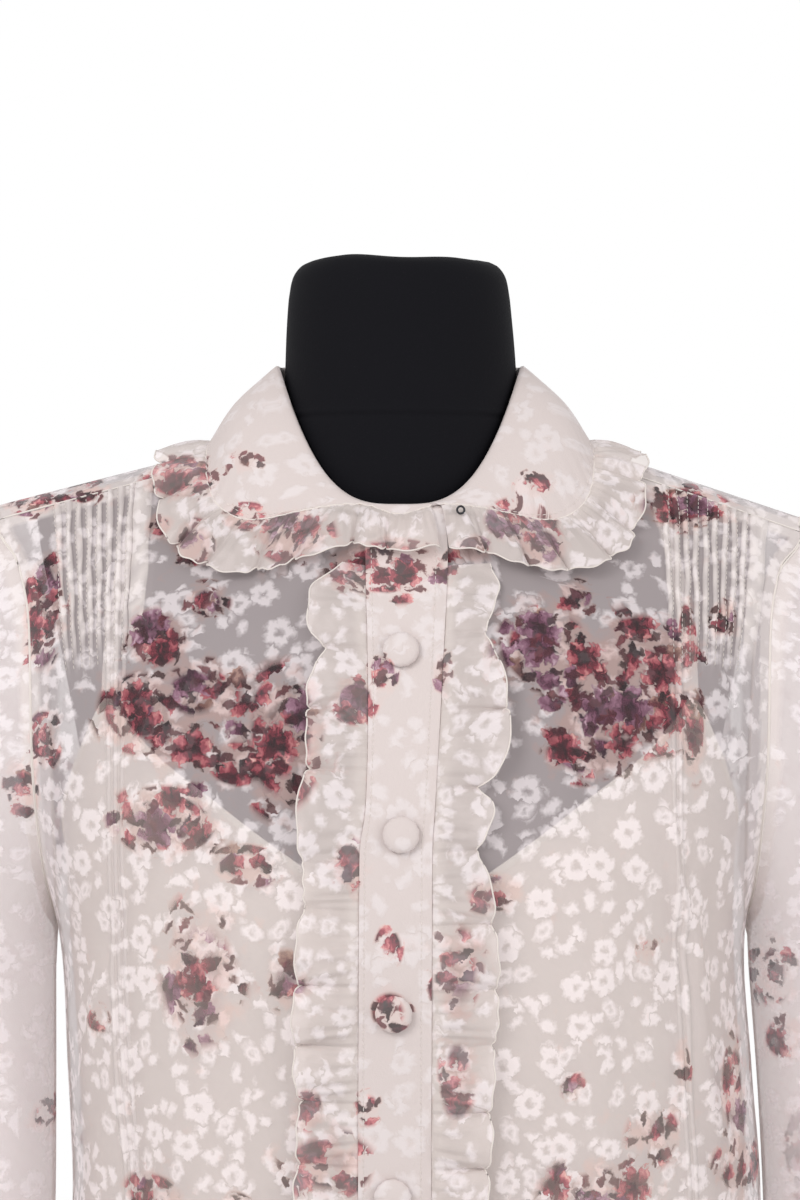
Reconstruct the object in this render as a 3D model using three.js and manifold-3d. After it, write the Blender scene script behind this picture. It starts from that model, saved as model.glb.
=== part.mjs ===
// A sheer printed blouse, buttoned to the neck, with its camisole lining, worn by a limbless dress form.
// Millimetres, +Z up. The front faces -Y and the wearer's left side is +X. The form's flat foot is at Z = 0.

import * as THREE from 'three';
import Module from 'manifold-3d';

const wasm = await Module();
wasm.setup();

const { clamp, degToRad, lerp, smoothstep } = THREE.MathUtils;
const QUARTER = Math.PI / 2;

// Walls and gaps
const CLOTH = 1.2;
const SATIN = 1.0;
const BAND = 1.5;
const COLLAR = 1.6;
const FRILL = 1.0;
const GAP = 0.35;
const SEAM_SHIFT = 0.25;

// Heights
const HEM = 60;
const UNDERARM = 450;
const CHEST = 540;
const NECK_PIT = 660;
const LINING_HEM = 90;
const FORM_TOP = 796;

// The shoulder ridge: its height where its slope changes, its slopes, its rise towards the neck
// and the width over which its peak at the nape is rounded
const RIDGE_AT = 122.5;
const RIDGE_Z = 691;
const RIDGE_SLOPE = { inner: 0.3, right: 0.258, left: 0.335 };
const NECK_RISE = 26;
const NECK_REACH = 85;
const NAPE = 12;

// The rounding over the shoulder, the sections' exponent, and the shoulder seam's drop in front of the ridge
const ROUNDING = 140;
const PLUMP = 2.3;
const SEAM_DROP = 8.2;
const TIP_X = 206;
const NECK_SIDE_X = 72;

const table = (columns, rows) => (
  rows.map((row) => Object.fromEntries(columns.map((name, i) => [name, row[i]])))
);

// Sections of the worn blouse; above the underarm, half is the width that the arm would fill out
const BLOUSE_SECTIONS = table(['z', 'half', 'lean', 'front', 'back'], [
  [60, 183, 5, 122, 124],
  [200, 179, 7, 127, 119],
  [320, 177, 8.5, 131.8, 113],
  [380, 176, 5, 134.6, 110],
  [450, 176.5, 1, 137, 108],
  [500, 190, 0, 133, 108],
  [540, 202, 0, 124, 107],
  [600, 208, 0, 104, 101],
  [640, 214, 0, 84, 95],
  [670, 222, 0, 74, 92],
  [710, 226, 0, 68, 90],
  [760, 228, 0, 66, 88],
]);

const LINING_SECTIONS = table(['z', 'half', 'lean', 'front', 'back'], [
  [90, 176, 5, 117, 119],
  [200, 173, 6.5, 122, 114],
  [320, 170.5, 8, 126, 108],
  [380, 169.5, 5, 130.5, 105.5],
  [450, 170, 1, 133, 104],
  [500, 172.5, 0, 129, 104],
  [540, 177, 0, 119.5, 103],
  [580, 183, 0, 107, 100],
  [640, 195, 0, 85, 90],
  [710, 200, 0, 70, 80],
]);

const FORM_SECTIONS = table(['z', 'half', 'lean', 'front', 'back'], [
  [0, 158, 0, 98, 110],
  [100, 162, 0, 100, 113],
  [200, 152, 0, 96, 99],
  [300, 128, 0, 88, 83],
  [380, 142, 0, 104, 89],
  [440, 152, 0, 129, 97],
  [500, 158, 0, 121, 99],
  [560, 168, 0, 101, 97],
  [620, 180, 0, 82, 88],
  [650, 186, 0, 71, 82],
  [700, 190, 0, 62, 78],
  [760, 190, 0, 60, 76],
]);

// The armhole's distance from the middle, by height
const ARMHOLE = table(['z', 'x'], [
  [450, 176.5],
  [470, 179.5],
  [500, 182],
  [540, 184.5],
  [600, 187],
  [620, 189.5],
  [640, 195.5],
  [661, 206],
  [690, 214],
]);

// Pin tucks of each front, from the innermost to the outermost, and the broad fold beside them
const TUCKS = table(['side', 'count', 'first', 'last', 'broadFrom', 'broadTo'], [
  [-1, 8, 137, 170, 128.2, 133.6],
  [1, 9, 135, 172, 175.6, 182],
]);
const TUCK_RISE = 1.5;
const BROAD_RISE = 0.9;
const TUCK_END = { from: 575, to: 603 };
const TUCK_SPREAD = { z: 615, rate: 0.12, least: -10, most: 6 };

// Soft vertical folds that fall from the bust and shoulder blades
const FOLDS = table(['face', 'x', 'wide', 'deep', 'top'], [
  [1, -118, 20, 4, 430],
  [1, -80, 17, -3, 380],
  [1, 76, 18, -3, 400],
  [1, 112, 20, 4.5, 440],
  [-1, -118, 22, 4, 470],
  [-1, -66, 20, -2, 430],
  [-1, -14, 22, 4, 440],
  [-1, 48, 20, -2, 420],
  [-1, 104, 24, 4.5, 480],
]);
const FOLD_FADE = 240;

// The placket's two edges
const PLACKET = table(['z', 'right', 'left'], [
  [60, -20, 15],
  [495, -19.5, 15.5],
  [520, -16.5, 17],
  [570, -15.5, 20],
  [640, -17, 23.5],
  [657, -17, 22.5],
]);

// Where the collar's and its frill's outer edges lie, by the angle round the neck from the centre front;
// roll is the angle over the shoulder, positive in front of the ridge
const COLLAR_EDGE = table(['turn', 'x', 'roll'], [
  [-16, -20, 63],
  [0, 0, 68],
  [16, 20, 63],
  [34, 50, 55],
  [53, 82, 46],
  [70, 95, 36],
  [90, 98, 17],
  [102, 96, -1],
  [122, 85, -27],
  [150, 52, -43],
  [180, 0, -56],
  [210, -52, -43],
]);
const FRILL_EDGE = table(['turn', 'x', 'roll'], [
  [-16, -24, 72],
  [0, 0, 77],
  [16, 24, 72],
  [34, 60, 65],
  [53, 100, 56],
  [70, 118, 43],
  [90, 123.5, 15],
  [102, 121, -5],
  [122, 108, -30],
  [150, 67, -51],
  [180, 0, -70],
  [210, -67, -51],
]);
const COLLAR_START = 16.5;
const COLLAR_END = 371.5;
const FOLD_RING = { side: 63, front: 67, back: 66 };
const FOLD_Z = { pit: 667, side: 738, back: 746 };

const BUTTONS = table(['x', 'z'], [
  [0.5, 594],
  [0.5, 505.5],
  [-3, 420],
  [-3.5, 331],
  [-3, 243],
  [-3, 155],
]);
const BUTTON = { radius: 9, thick: 4.6 };

const MATERIALS = {
  print: { color: 0xe9dcd8, roughness: 0.8, metalness: 0 },
  band: { color: 0xebe0dc, roughness: 0.75, metalness: 0 },
  satin: { color: 0xddd5cc, roughness: 0.5, metalness: 0 },
  jersey: { color: 0x14141a, roughness: 0.9, metalness: 0 },
  metal: { color: 0x3a3a3e, roughness: 0.4, metalness: 0.9 },
};

const blouse = new THREE.Group();

function add(name, geometry, material) {
  const mesh = new THREE.Mesh(geometry, new THREE.MeshStandardMaterial(MATERIALS[material]));
  mesh.name = name;
  blouse.add(mesh);
  return mesh;
}

// A smooth curve through one column of a table, as a function of another; it runs on straight past its ends
function through(rows, by, column) {
  const at = rows.map((row) => row[by]);
  const value = rows.map((row) => row[column]);
  const last = at.length - 1;
  const slope = at.map((_, i) => {
    const low = Math.max(i - 1, 0);
    const high = Math.min(i + 1, last);
    return (value[high] - value[low]) / (at[high] - at[low]);
  });
  return (x) => {
    if (x <= at[0]) return value[0] + slope[0] * (x - at[0]);
    if (x >= at[last]) return value[last] + slope[last] * (x - at[last]);
    let i = 0;
    while (x > at[i + 1]) i += 1;
    const span = at[i + 1] - at[i];
    const t = (x - at[i]) / span;
    const s = 1 - t;
    return (
      value[i] * (1 + 2 * t) * s * s
      + value[i + 1] * (1 + 2 * s) * t * t
      + span * t * s * (slope[i] * s - slope[i + 1] * t)
    );
  };
}

function sections(rows, drop, rise = NECK_RISE) {
  const shape = { drop, rise };
  for (const column of ['half', 'lean', 'front', 'back']) {
    shape[column] = through(rows, 'z', column);
  }
  return shape;
}

const BLOUSE = { ...sections(BLOUSE_SECTIONS, 0), folded: true };
const LINING_SHAPE = sections(LINING_SECTIONS, 2);
const FORM_SHAPE = sections(FORM_SECTIONS, 3.6, 0);
const armholeX = through(ARMHOLE, 'z', 'x');
const placketRight = through(PLACKET, 'z', 'right');
const placketLeft = through(PLACKET, 'z', 'left');

function ridge(x, high = NECK_RISE) {
  const out = Math.hypot(x, NAPE);
  let slope = RIDGE_SLOPE.inner;
  if (out > RIDGE_AT) slope = x < 0 ? RIDGE_SLOPE.right : RIDGE_SLOPE.left;
  const rise = high * Math.max(0, 1 - (out / NECK_REACH) ** 2) ** 2;
  return RIDGE_Z - slope * (out - RIDGE_AT) + rise;
}

function foldAt(x, z, face) {
  let deep = 0;
  for (const fold of FOLDS) {
    if (fold.face !== face) continue;
    const fade = smoothstep(fold.top - z, 0, FOLD_FADE);
    deep += fold.deep * fade * Math.exp(-(((x - fold.x) / fold.wide) ** 2));
  }
  return deep;
}

// A height is kept as a roll: the angle over the shoulder's rounding, and past a quarter turn the fall below it
const rollOf = (shape, x, z) => {
  const fall = ridge(x, shape.rise) - shape.drop - z;
  if (fall < ROUNDING) return Math.acos(clamp(1 - fall / ROUNDING, -1, 1));
  return QUARTER + fall / ROUNDING - 1;
};

function heightOf(shape, x, roll) {
  const turn = Math.abs(roll);
  const fall = turn < QUARTER ? 1 - Math.cos(turn) : 1 + turn - QUARTER;
  return ridge(x, shape.rise) - shape.drop - ROUNDING * fall;
}

// A point of a worn surface: x across, and the roll, positive in front of the ridge and negative behind it
function surface(shape, x, roll) {
  const z = heightOf(shape, x, roll);
  const across = Math.min(Math.abs(x - shape.lean(z)) / shape.half(z), 1);
  const round = (1 - across ** PLUMP) ** (1 / PLUMP);
  const rolled = Math.sin(Math.min(Math.abs(roll), QUARTER));
  const face = roll > 0 ? 1 : -1;
  let deep = (face > 0 ? shape.front(z) : shape.back(z)) * round * rolled;
  if (shape.folded) deep += foldAt(x, z, face) * round;
  return new THREE.Vector3(x, -face * deep, z);
}

// The same point moved out along the surface's normal
function lifted(shape, x, roll, off) {
  const across = surface(shape, x + 0.5, roll).sub(surface(shape, x - 0.5, roll));
  const down = surface(shape, x, roll + 0.01).sub(surface(shape, x, roll - 0.01));
  const normal = down.cross(across).normalize();
  return surface(shape, x, roll).addScaledVector(normal, off);
}

const frontAt = (x, z, off) => lifted(BLOUSE, x, rollOf(BLOUSE, x, z), off);

function geometryOf(points, faces) {
  const geometry = new THREE.BufferGeometry();
  geometry.setAttribute(
    'position',
    new THREE.Float32BufferAttribute(points.flatMap((p) => [p.x, p.y, p.z]), 3),
  );
  geometry.setIndex(faces.flat());
  return geometry;
}

// A closed wall of cloth through rows of points. A point's lift raises the side that its normal leaves.
// A ringed wall joins the ends of its rows and so is a tube.
function wall(rows, thick, ringed = false) {
  const high = rows.length;
  const wide = rows[0].length;
  const spans = ringed ? wide : wide - 1;
  const column = (i) => (ringed ? (i + wide) % wide : clamp(i, 0, wide - 1));
  const row = (j) => clamp(j, 0, high - 1);
  const points = [];
  for (const sign of [1, -1]) {
    for (let j = 0; j < high; j += 1) {
      for (let i = 0; i < wide; i += 1) {
        const along = rows[j][column(i + 1)].clone().sub(rows[j][column(i - 1)]);
        const up = rows[row(j + 1)][i].clone().sub(rows[row(j - 1)][i]);
        const normal = along.cross(up).normalize();
        const lift = sign > 0 ? (rows[j][i].lift ?? 0) : 0;
        points.push(rows[j][i].clone().addScaledVector(normal, sign * thick / 2 + lift));
      }
    }
  }
  const outer = (i, j) => j * wide + column(i);
  const inner = (i, j) => outer(i, j) + high * wide;
  const faces = [];
  const quad = (a, b, c, d) => faces.push([a, b, c], [a, c, d]);
  for (let j = 0; j < high - 1; j += 1) {
    for (let i = 0; i < spans; i += 1) {
      quad(outer(i, j), outer(i + 1, j), outer(i + 1, j + 1), outer(i, j + 1));
      quad(inner(i, j), inner(i, j + 1), inner(i + 1, j + 1), inner(i + 1, j));
    }
  }
  const top = high - 1;
  for (let i = 0; i < spans; i += 1) {
    quad(outer(i + 1, 0), outer(i, 0), inner(i, 0), inner(i + 1, 0));
    quad(outer(i, top), outer(i + 1, top), inner(i + 1, top), inner(i, top));
  }
  if (!ringed) {
    for (let j = 0; j < top; j += 1) {
      quad(outer(0, j), outer(0, j + 1), inner(0, j + 1), inner(0, j));
      quad(outer(spans, j + 1), outer(spans, j), inner(spans, j), inner(spans, j + 1));
    }
  }
  return geometryOf(points, faces);
}

// Heights of the panels' level rows, and how many rows fan out above them to the shoulder seam
const LEVELS = [HEM, 150, 240, 330, 400, UNDERARM, 480, 511, CHEST];
const FAN = 8;
const seamZ = (side, x) => ridge(side * x) - SEAM_DROP;

// The neckline in front, from the pit to the side of the neck
function frontNeckline(side, turn) {
  const top = seamZ(side, NECK_SIDE_X);
  return { x: NECK_SIDE_X * Math.sin(turn), z: top - (top - NECK_PIT) * Math.cos(turn) };
}

// The neckline behind it, from the centre back to the shoulder seam
const BACK_NECK = table(['x', 'roll'], [
  [0, -54],
  [23, -46],
  [43, -34],
  [57, -23],
  [63.5, -14.5],
  [67.5, -5],
  [70, 6],
  [NECK_SIDE_X, 18.7],
]);
const backNeckRoll = through(BACK_NECK, 'x', 'roll');

// The across-section angle of a place, and back, so that columns bunch where the section turns
const angleOf = (q, half) => Math.asin(clamp(q / half, -1, 1) ** (PLUMP / 2));
const reachOf = (angle, half) => half * Math.sin(angle) ** (2 / PLUMP);

// Places of the columns across a front at one row, out from the middle, each with how far it is raised
function frontColumns(side, z, from, to, half) {
  const tuck = TUCKS.find((row) => row.side === side);
  const pitch = (tuck.last - tuck.first) / (tuck.count - 1);
  const { z: level, rate, least, most } = TUCK_SPREAD;
  const spread = clamp((z - level) * rate, least, most) / (tuck.last - tuck.first);
  const place = (q) => q + spread * (q - tuck.first);
  const sewn = smoothstep(z, TUCK_END.from, TUCK_END.to);
  const columns = [];
  const put = (q, rise) => columns.push({ q: place(q), lift: rise * sewn });
  const broad = () => {
    put(tuck.broadFrom, BROAD_RISE);
    put(tuck.broadTo, BROAD_RISE);
  };
  if (tuck.broadFrom < tuck.first) {
    put(tuck.broadFrom - 1.4, 0);
    broad();
  }
  put(tuck.first - pitch / 2, 0);
  for (let i = 0; i < tuck.count; i += 1) {
    put(tuck.first + i * pitch, TUCK_RISE);
    put(tuck.first + (i + 0.5) * pitch, 0);
  }
  if (tuck.broadFrom > tuck.last) {
    broad();
    put(tuck.broadTo + 1.3, 0);
  }
  const inside = [];
  const innerCount = 5;
  for (let i = 0; i < innerCount; i += 1) {
    inside.push({ q: lerp(from, columns[0].q, i / innerCount), lift: 0 });
  }
  const outside = [];
  const outerCount = side < 0 ? 4 : 3;
  const start = angleOf(columns.at(-1).q, half);
  const end = angleOf(to, half);
  for (let i = 1; i <= outerCount; i += 1) {
    outside.push({ q: reachOf(lerp(start, end, i / outerCount), half), lift: 0 });
  }
  return [...inside, ...columns, ...outside];
}

// The fronts' meeting edges under the placket, out from the middle
const FRONT_EDGE = { right: 15.9, left: -15.5 };

function frontPanel(side) {
  const name = side < 0 ? 'right' : 'left';
  const edge = side < 0 ? FRONT_EDGE.right : FRONT_EDGE.left;
  const rows = [];
  const addRow = (z, from, to, zAt) => {
    const lean = BLOUSE.lean(z);
    const row = frontColumns(side, z, from, to, BLOUSE.half(z)).map(({ q, lift }, i, all) => {
      const x = lean + side * q;
      const point = surface(BLOUSE, x, rollOf(BLOUSE, x, zAt(x)));
      if (i === all.length - 1 && z <= UNDERARM) point.y = 0;
      point.y -= SEAM_SHIFT;
      point.lift = lift;
      return point;
    });
    rows.push(side < 0 ? row.reverse() : row);
  };
  for (const z of LEVELS) {
    const to = z <= UNDERARM ? BLOUSE.half(z) : armholeX(z);
    addRow(z, edge - side * BLOUSE.lean(z), to, () => z);
  }
  const tip = seamZ(side, TIP_X);
  for (let k = 1; k <= FAN; k += 1) {
    const v = k / FAN;
    let inner = { x: edge, z: lerp(CHEST, NECK_PIT, v * 2) };
    if (v > 0.5) inner = frontNeckline(side, (v * 2 - 1) * QUARTER);
    const outer = { z: lerp(CHEST, tip, v) };
    outer.x = k === FAN ? TIP_X : armholeX(outer.z);
    const innerFall = ridge(side * inner.x) - inner.z;
    const outerFall = ridge(side * outer.x) - outer.z;
    const zAt = (x) => {
      const t = (side * x - inner.x) / (outer.x - inner.x);
      const straight = lerp(inner.z, outer.z, t);
      const parallel = ridge(x) - lerp(innerFall, outerFall, t);
      return lerp(straight, parallel, v);
    };
    addRow(outer.z, inner.x, outer.x, zAt);
  }
  add(`front_${name}`, wall(rows, CLOTH), 'print');
  return rows.map((row) => (side < 0 ? row[0] : row.at(-1)));
}

// The back: level rows up to the chest, then rows that roll over the shoulders to the seam in front of the ridge
const BACK_COLUMNS = table(['low', 'top'], [
  [0, 0],
  [0.1, 0.11],
  [0.19, 0.209],
  [0.27, 0.277],
  [0.34, 0.308],
  [0.4, 0.328],
  [0.46, 0.3405],
  [0.53, 0.3495],
  [0.62, 0.45],
  [0.7, 0.56],
  [0.775, 0.67],
  [0.845, 0.775],
  [0.905, 0.86],
  [0.955, 0.93],
  [0.988, 0.975],
  [1, 1],
]);
const SEAM_ROLL = Math.acos(1 - (SEAM_DROP - 0.5) / ROUNDING);
const ARMHOLE_TOP = 668;

function backPanel() {
  const columns = [
    ...BACK_COLUMNS.slice(1).map(({ low, top }) => ({ low: -low, top: -top })).reverse(),
    ...BACK_COLUMNS,
  ];
  const rows = [];
  for (const z of LEVELS) {
    const half = z <= UNDERARM ? BLOUSE.half(z) : armholeX(z);
    rows.push(columns.map(({ low }) => {
      const x = BLOUSE.lean(z) + low * half;
      const point = surface(BLOUSE, x, -rollOf(BLOUSE, x, z));
      if (Math.abs(low) === 1 && z <= UNDERARM) point.y = 0;
      point.y += SEAM_SHIFT;
      return point;
    }));
  }
  for (let k = 1; k <= FAN; k += 1) {
    rows.push(columns.map(({ low, top }) => {
      const v = k / FAN;
      const reach = Math.abs(top);
      const side = Math.sign(top);
      let x = lerp(low, top, v) * lerp(armholeX(CHEST), TIP_X, v * v);
      let roll = 0;
      for (let pass = 0; pass < 6; pass += 1) {
        const end = reach * TIP_X < NECK_SIDE_X ? degToRad(backNeckRoll(reach * TIP_X)) : SEAM_ROLL;
        roll = lerp(-rollOf(BLOUSE, x, CHEST), end, v);
        const across = k === FAN ? TIP_X : armholeX(Math.min(heightOf(BLOUSE, x, roll), ARMHOLE_TOP));
        if (reach === 1) x = side * across;
      }
      const point = surface(BLOUSE, x, roll);
      point.y += SEAM_SHIFT;
      return point;
    }));
  }
  for (const row of rows) row.reverse();
  add('back', wall(rows, CLOTH), 'print');
  return { right: rows.map((row) => row.at(-1)), left: rows.map((row) => row[0]) };
}

const rightEdge = frontPanel(-1);
const leftEdge = frontPanel(1);
const backEdges = backPanel();

// Sleeves: the armhole's loop turns down about the underarm, then hangs
const BEND = table(['turn', 'reach', 'deep', 'drop'], [
  [20, 196, 50, 3],
  [34, 172, 47, 6],
  [48, 152, 44, 9],
  [62, 136, 42, 13],
  [76, 124, 40, 17],
  [90, 117, 38, 24],
]);
const HANG = table(['z', 'right', 'left', 'reach', 'deep'], [
  [450, 176.7, 179.2, 117, 38],
  [426, 177.6, 180.4, 116, 38],
  [370, 177.6, 184.6, 113, 36],
  [310, 178, 187.6, 110, 34],
  [250, 180.5, 188.6, 107, 33],
  [190, 184, 189.5, 103, 31],
  [130, 187, 191.5, 99, 29],
  [75, 189, 193.5, 96, 28],
]);
const BOW_RINGS = 4;

function sleeve(side) {
  const name = side < 0 ? 'right' : 'left';
  const front = side < 0 ? rightEdge : leftEdge;
  const back = backEdges[name];
  const from = LEVELS.indexOf(UNDERARM);
  const tip = ridge(side * TIP_X);
  const loop = [
    ...front.slice(from).reverse(),
    ...back.slice(from + 1, -1),
  ];
  const underarm = loop.indexOf(front[from]);
  const inner = through(HANG, 'z', name);
  const turns = loop.map((p, i) => {
    const share = clamp((p.z - UNDERARM) / (tip - UNDERARM), 0, 1);
    const turn = Math.acos(clamp(2 * share - 1, -1, 1));
    return i > underarm && p.y > 0 ? -turn : turn;
  });
  turns[underarm] = Math.PI;
  const first = loop.map((p, i) => {
    const low = (1 - Math.cos(turns[i])) / 2;
    return new THREE.Vector3(p.x + side * (GAP + 0.2 + 0.8 * low), p.y, p.z);
  });
  const foot = first[underarm];
  const head = { x: Math.abs(first[0].x), z: tip };
  const start = Math.atan2(head.x - Math.abs(foot.x), head.z - foot.z);
  const length = Math.hypot(head.x - Math.abs(foot.x), head.z - foot.z);
  const ringAt = (pivot, turn, reach, deep, keep) => first.map((p, i) => {
    const share = (1 + Math.cos(turns[i])) / 2;
    const straight = {
      x: Math.abs(foot.x) + Math.sin(start) * length * share,
      z: foot.z + Math.cos(start) * length * share,
    };
    const x = pivot.x + Math.sin(turn) * reach * share + (Math.abs(p.x) - straight.x) * keep;
    const z = pivot.z + Math.cos(turn) * reach * share + (p.z - straight.z) * keep;
    const y = lerp(-deep * Math.sin(turns[i]), p.y, keep);
    return new THREE.Vector3(side * x, y, z);
  });
  const rings = [first];
  BEND.forEach((row, k) => {
    const z = UNDERARM - row.drop;
    const keep = Math.max(0, 1 - (k + 1) / BOW_RINGS) ** 1.5;
    rings.push(ringAt({ x: inner(z), z }, degToRad(row.turn), row.reach, row.deep, keep));
  });
  for (const row of HANG.slice(2)) {
    rings.push(ringAt({ x: row[name], z: row.z }, QUARTER, row.reach, row.deep, 0));
  }
  if (side < 0) rings.forEach((ring) => ring.reverse());
  add(`sleeve_${name}`, wall(rings, CLOTH, true), 'print');
}

// The placket lies on both fronts, and a frill stands beside each of its edges
const PLACKET_OFF = CLOTH / 2 + GAP + BAND / 2 + SEAM_SHIFT + 0.1;

function placket() {
  const levels = [...LEVELS.slice(0, -1), 540, 555, 570, 585, 600, 615, 630, 645, 656.5];
  const rows = levels.map((z) => {
    const across = [0, 0.25, 0.5, 0.75, 1];
    return across.map((t) => frontAt(lerp(placketRight(z), placketLeft(z), t), z, PLACKET_OFF));
  });
  add('placket', wall(rows, BAND), 'band');
}

const WAVE = { pitch: 25, perWave: 4 };
const FRILL_TOP = 632;
const wander = (at) => 2 * Math.PI * at / WAVE.pitch + 0.9 * Math.sin(at / 37);

function frontFrill(side) {
  const name = side < 0 ? 'right' : 'left';
  const edge = side < 0 ? placketRight : placketLeft;
  const count = Math.round((FRILL_TOP - HEM - 3) / WAVE.pitch * WAVE.perWave);
  const base = CLOTH / 2 + GAP + FRILL / 2 + SEAM_SHIFT;
  const inner = [];
  const outer = [];
  for (let i = 0; i <= count; i += 1) {
    const z = lerp(HEM + 3, FRILL_TOP, i / count);
    const wave = wander(z + side * 9);
    const wide = 26 + 2.5 * Math.sin(wave * 0.5) + 1.5 * Math.cos(wave);
    inner.push(frontAt(edge(z) + side * 1, z, base + 0.3 + 0.8 * (1 + Math.sin(wave))));
    outer.push(frontAt(edge(z) + side * wide, z + 1.5 * Math.cos(wave), base + 0.8 + 3 * (1 + Math.sin(wave))));
  }
  add(`frill_${name}`, wall([inner, outer], FRILL), 'print');
}

// The collar: from the neckline up inside, over its fold, and down to its outer edge
const edgeX = through(COLLAR_EDGE, 'turn', 'x');
const edgeRoll = through(COLLAR_EDGE, 'turn', 'roll');
const frillX = through(FRILL_EDGE, 'turn', 'x');
const frillRoll = through(FRILL_EDGE, 'turn', 'roll');
const LEAF_OFF = CLOTH / 2 + GAP + COLLAR / 2 + 0.6;
const STAND_LIFT = new THREE.Vector3(0, 0, 3);

// A station round the neck, as an angle from the centre front and the side that it lies on
function station(turn) {
  if (turn <= 180) return { turn, side: 1 };
  return { turn: 360 - turn, side: -1 };
}

function foldPoint({ turn, side }) {
  const angle = degToRad(turn);
  const front = Math.cos(angle) > 0;
  const deep = front ? FOLD_RING.front : FOLD_RING.back;
  const low = front ? FOLD_Z.pit : FOLD_Z.back;
  const z = lerp(low, FOLD_Z.side, Math.sin(angle) ** 2);
  return new THREE.Vector3(side * FOLD_RING.side * Math.sin(angle), -deep * Math.cos(angle), z);
}

function standPoint(at) {
  const angle = degToRad(at.turn);
  if (Math.cos(angle) > 0) {
    const { x, z } = frontNeckline(at.side, Math.min(Math.abs(angle), QUARTER));
    const signed = at.side * Math.sign(angle || 1) * x;
    return surface(BLOUSE, signed, rollOf(BLOUSE, signed, z)).add(STAND_LIFT);
  }
  const x = NECK_SIDE_X * Math.sin(angle);
  return surface(BLOUSE, at.side * x, degToRad(backNeckRoll(x))).add(STAND_LIFT);
}

function collarSection(turn) {
  const at = station(turn);
  const stand = standPoint(at);
  const fold = foldPoint(at);
  const away = new THREE.Vector3(fold.x, fold.y, 0).normalize();
  const leaf = lifted(BLOUSE, at.side * edgeX(at.turn), degToRad(edgeRoll(at.turn)), LEAF_OFF);
  const over = fold.clone().addScaledVector(away, 3.2);
  const bulge = new THREE.Vector3(away.x, away.y, 0.9);
  const middle = over.clone().lerp(leaf, 0.5).addScaledVector(bulge, over.distanceTo(leaf) * 0.05);
  return [leaf, middle, over, fold, stand.clone().lerp(fold, 0.5), stand];
}

function collar() {
  const count = 44;
  const sectionsAround = [];
  for (let i = 0; i <= count; i += 1) {
    sectionsAround.push(collarSection(lerp(COLLAR_START, COLLAR_END, i / count)));
  }
  const rows = sectionsAround[0].map((_, j) => sectionsAround.map((section) => section[j]));
  add('collar', wall(rows, COLLAR), 'band');
}

const COLLAR_WAVES = 26;

function collarFrill() {
  const count = COLLAR_WAVES * WAVE.perWave;
  const inner = [];
  const outer = [];
  for (let i = 0; i <= count; i += 1) {
    const turn = lerp(COLLAR_START + 1, COLLAR_END - 1, i / count);
    const at = station(turn);
    const wave = 2 * Math.PI * i / WAVE.perWave + 0.5 + 0.8 * Math.sin(i / 7);
    const nearFront = 1 - smoothstep(at.turn, 18, 34);
    const base = LEAF_OFF + 0.2 + 1.4 * nearFront;
    const start = 0.14 - 0.06 * Math.sin(degToRad(Math.min(Math.abs(at.turn), 90)));
    const x = (t) => at.side * lerp(edgeX(at.turn), frillX(at.turn), t);
    const roll = (t) => degToRad(lerp(edgeRoll(at.turn), frillRoll(at.turn), t));
    const reach = 1 + 0.08 * Math.cos(wave);
    inner.push(lifted(BLOUSE, x(start), roll(start), base + 0.5 * (1 + Math.sin(wave))));
    outer.push(lifted(BLOUSE, x(reach), roll(reach), base + 0.4 + 2.8 * (1 + Math.sin(wave))));
  }
  add('collar_frill', wall([inner, outer], FRILL), 'print');
}

// Camisole lining: its top edge by distance from the middle
const LINING_FRONT = table(['x', 'z'], [
  [0, 462.5],
  [22, 474],
  [50, 492],
  [90, 521],
  [120, 543],
  [138, 562],
  [145, 573],
  [150, 567],
  [158, 550],
  [166, 530],
]);
const LINING_BACK = table(['x', 'z'], [
  [0, 560],
  [40, 562],
  [80, 570],
  [112, 582],
  [124, 590],
  [136, 576],
  [152, 548],
  [165, 520],
]);
const LINING_SIDE_Z = 500;
const LINING_RISE = [0, 0.16, 0.32, 0.48, 0.63, 0.76, 0.87, 0.95, 1];

function lining(name, face, tops) {
  const side = tops.map(({ x, z }) => ({ z, angle: angleOf(x, LINING_SHAPE.half(z)) }));
  side.push({ z: LINING_SIDE_Z, angle: QUARTER });
  const columns = [
    ...side.slice(1).map(({ z, angle }) => ({ z, angle, sign: -1 })).reverse(),
    ...side.map(({ z, angle }) => ({ z, angle, sign: 1 })),
  ];
  const rows = LINING_RISE.map((rise) => columns.map((column) => {
    const z = lerp(LINING_HEM, column.z, rise);
    const x = LINING_SHAPE.lean(z) + column.sign * reachOf(column.angle, LINING_SHAPE.half(z));
    const point = surface(LINING_SHAPE, x, face * rollOf(LINING_SHAPE, x, z));
    if (column.angle === QUARTER) point.y = 0;
    point.y -= face * SEAM_SHIFT;
    return point;
  }));
  if (face < 0) rows.forEach((row) => row.reverse());
  add(name, wall(rows, SATIN), 'satin');
}

// Straps: from the lining's front peak over the form's shoulder to the back peak
const STRAP = { half: 4, front: 573.6, back: 590.6, frontX: 145, overX: 127, backX: 124, rows: 16 };
const STRAP_OFF = 1.3;

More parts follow.
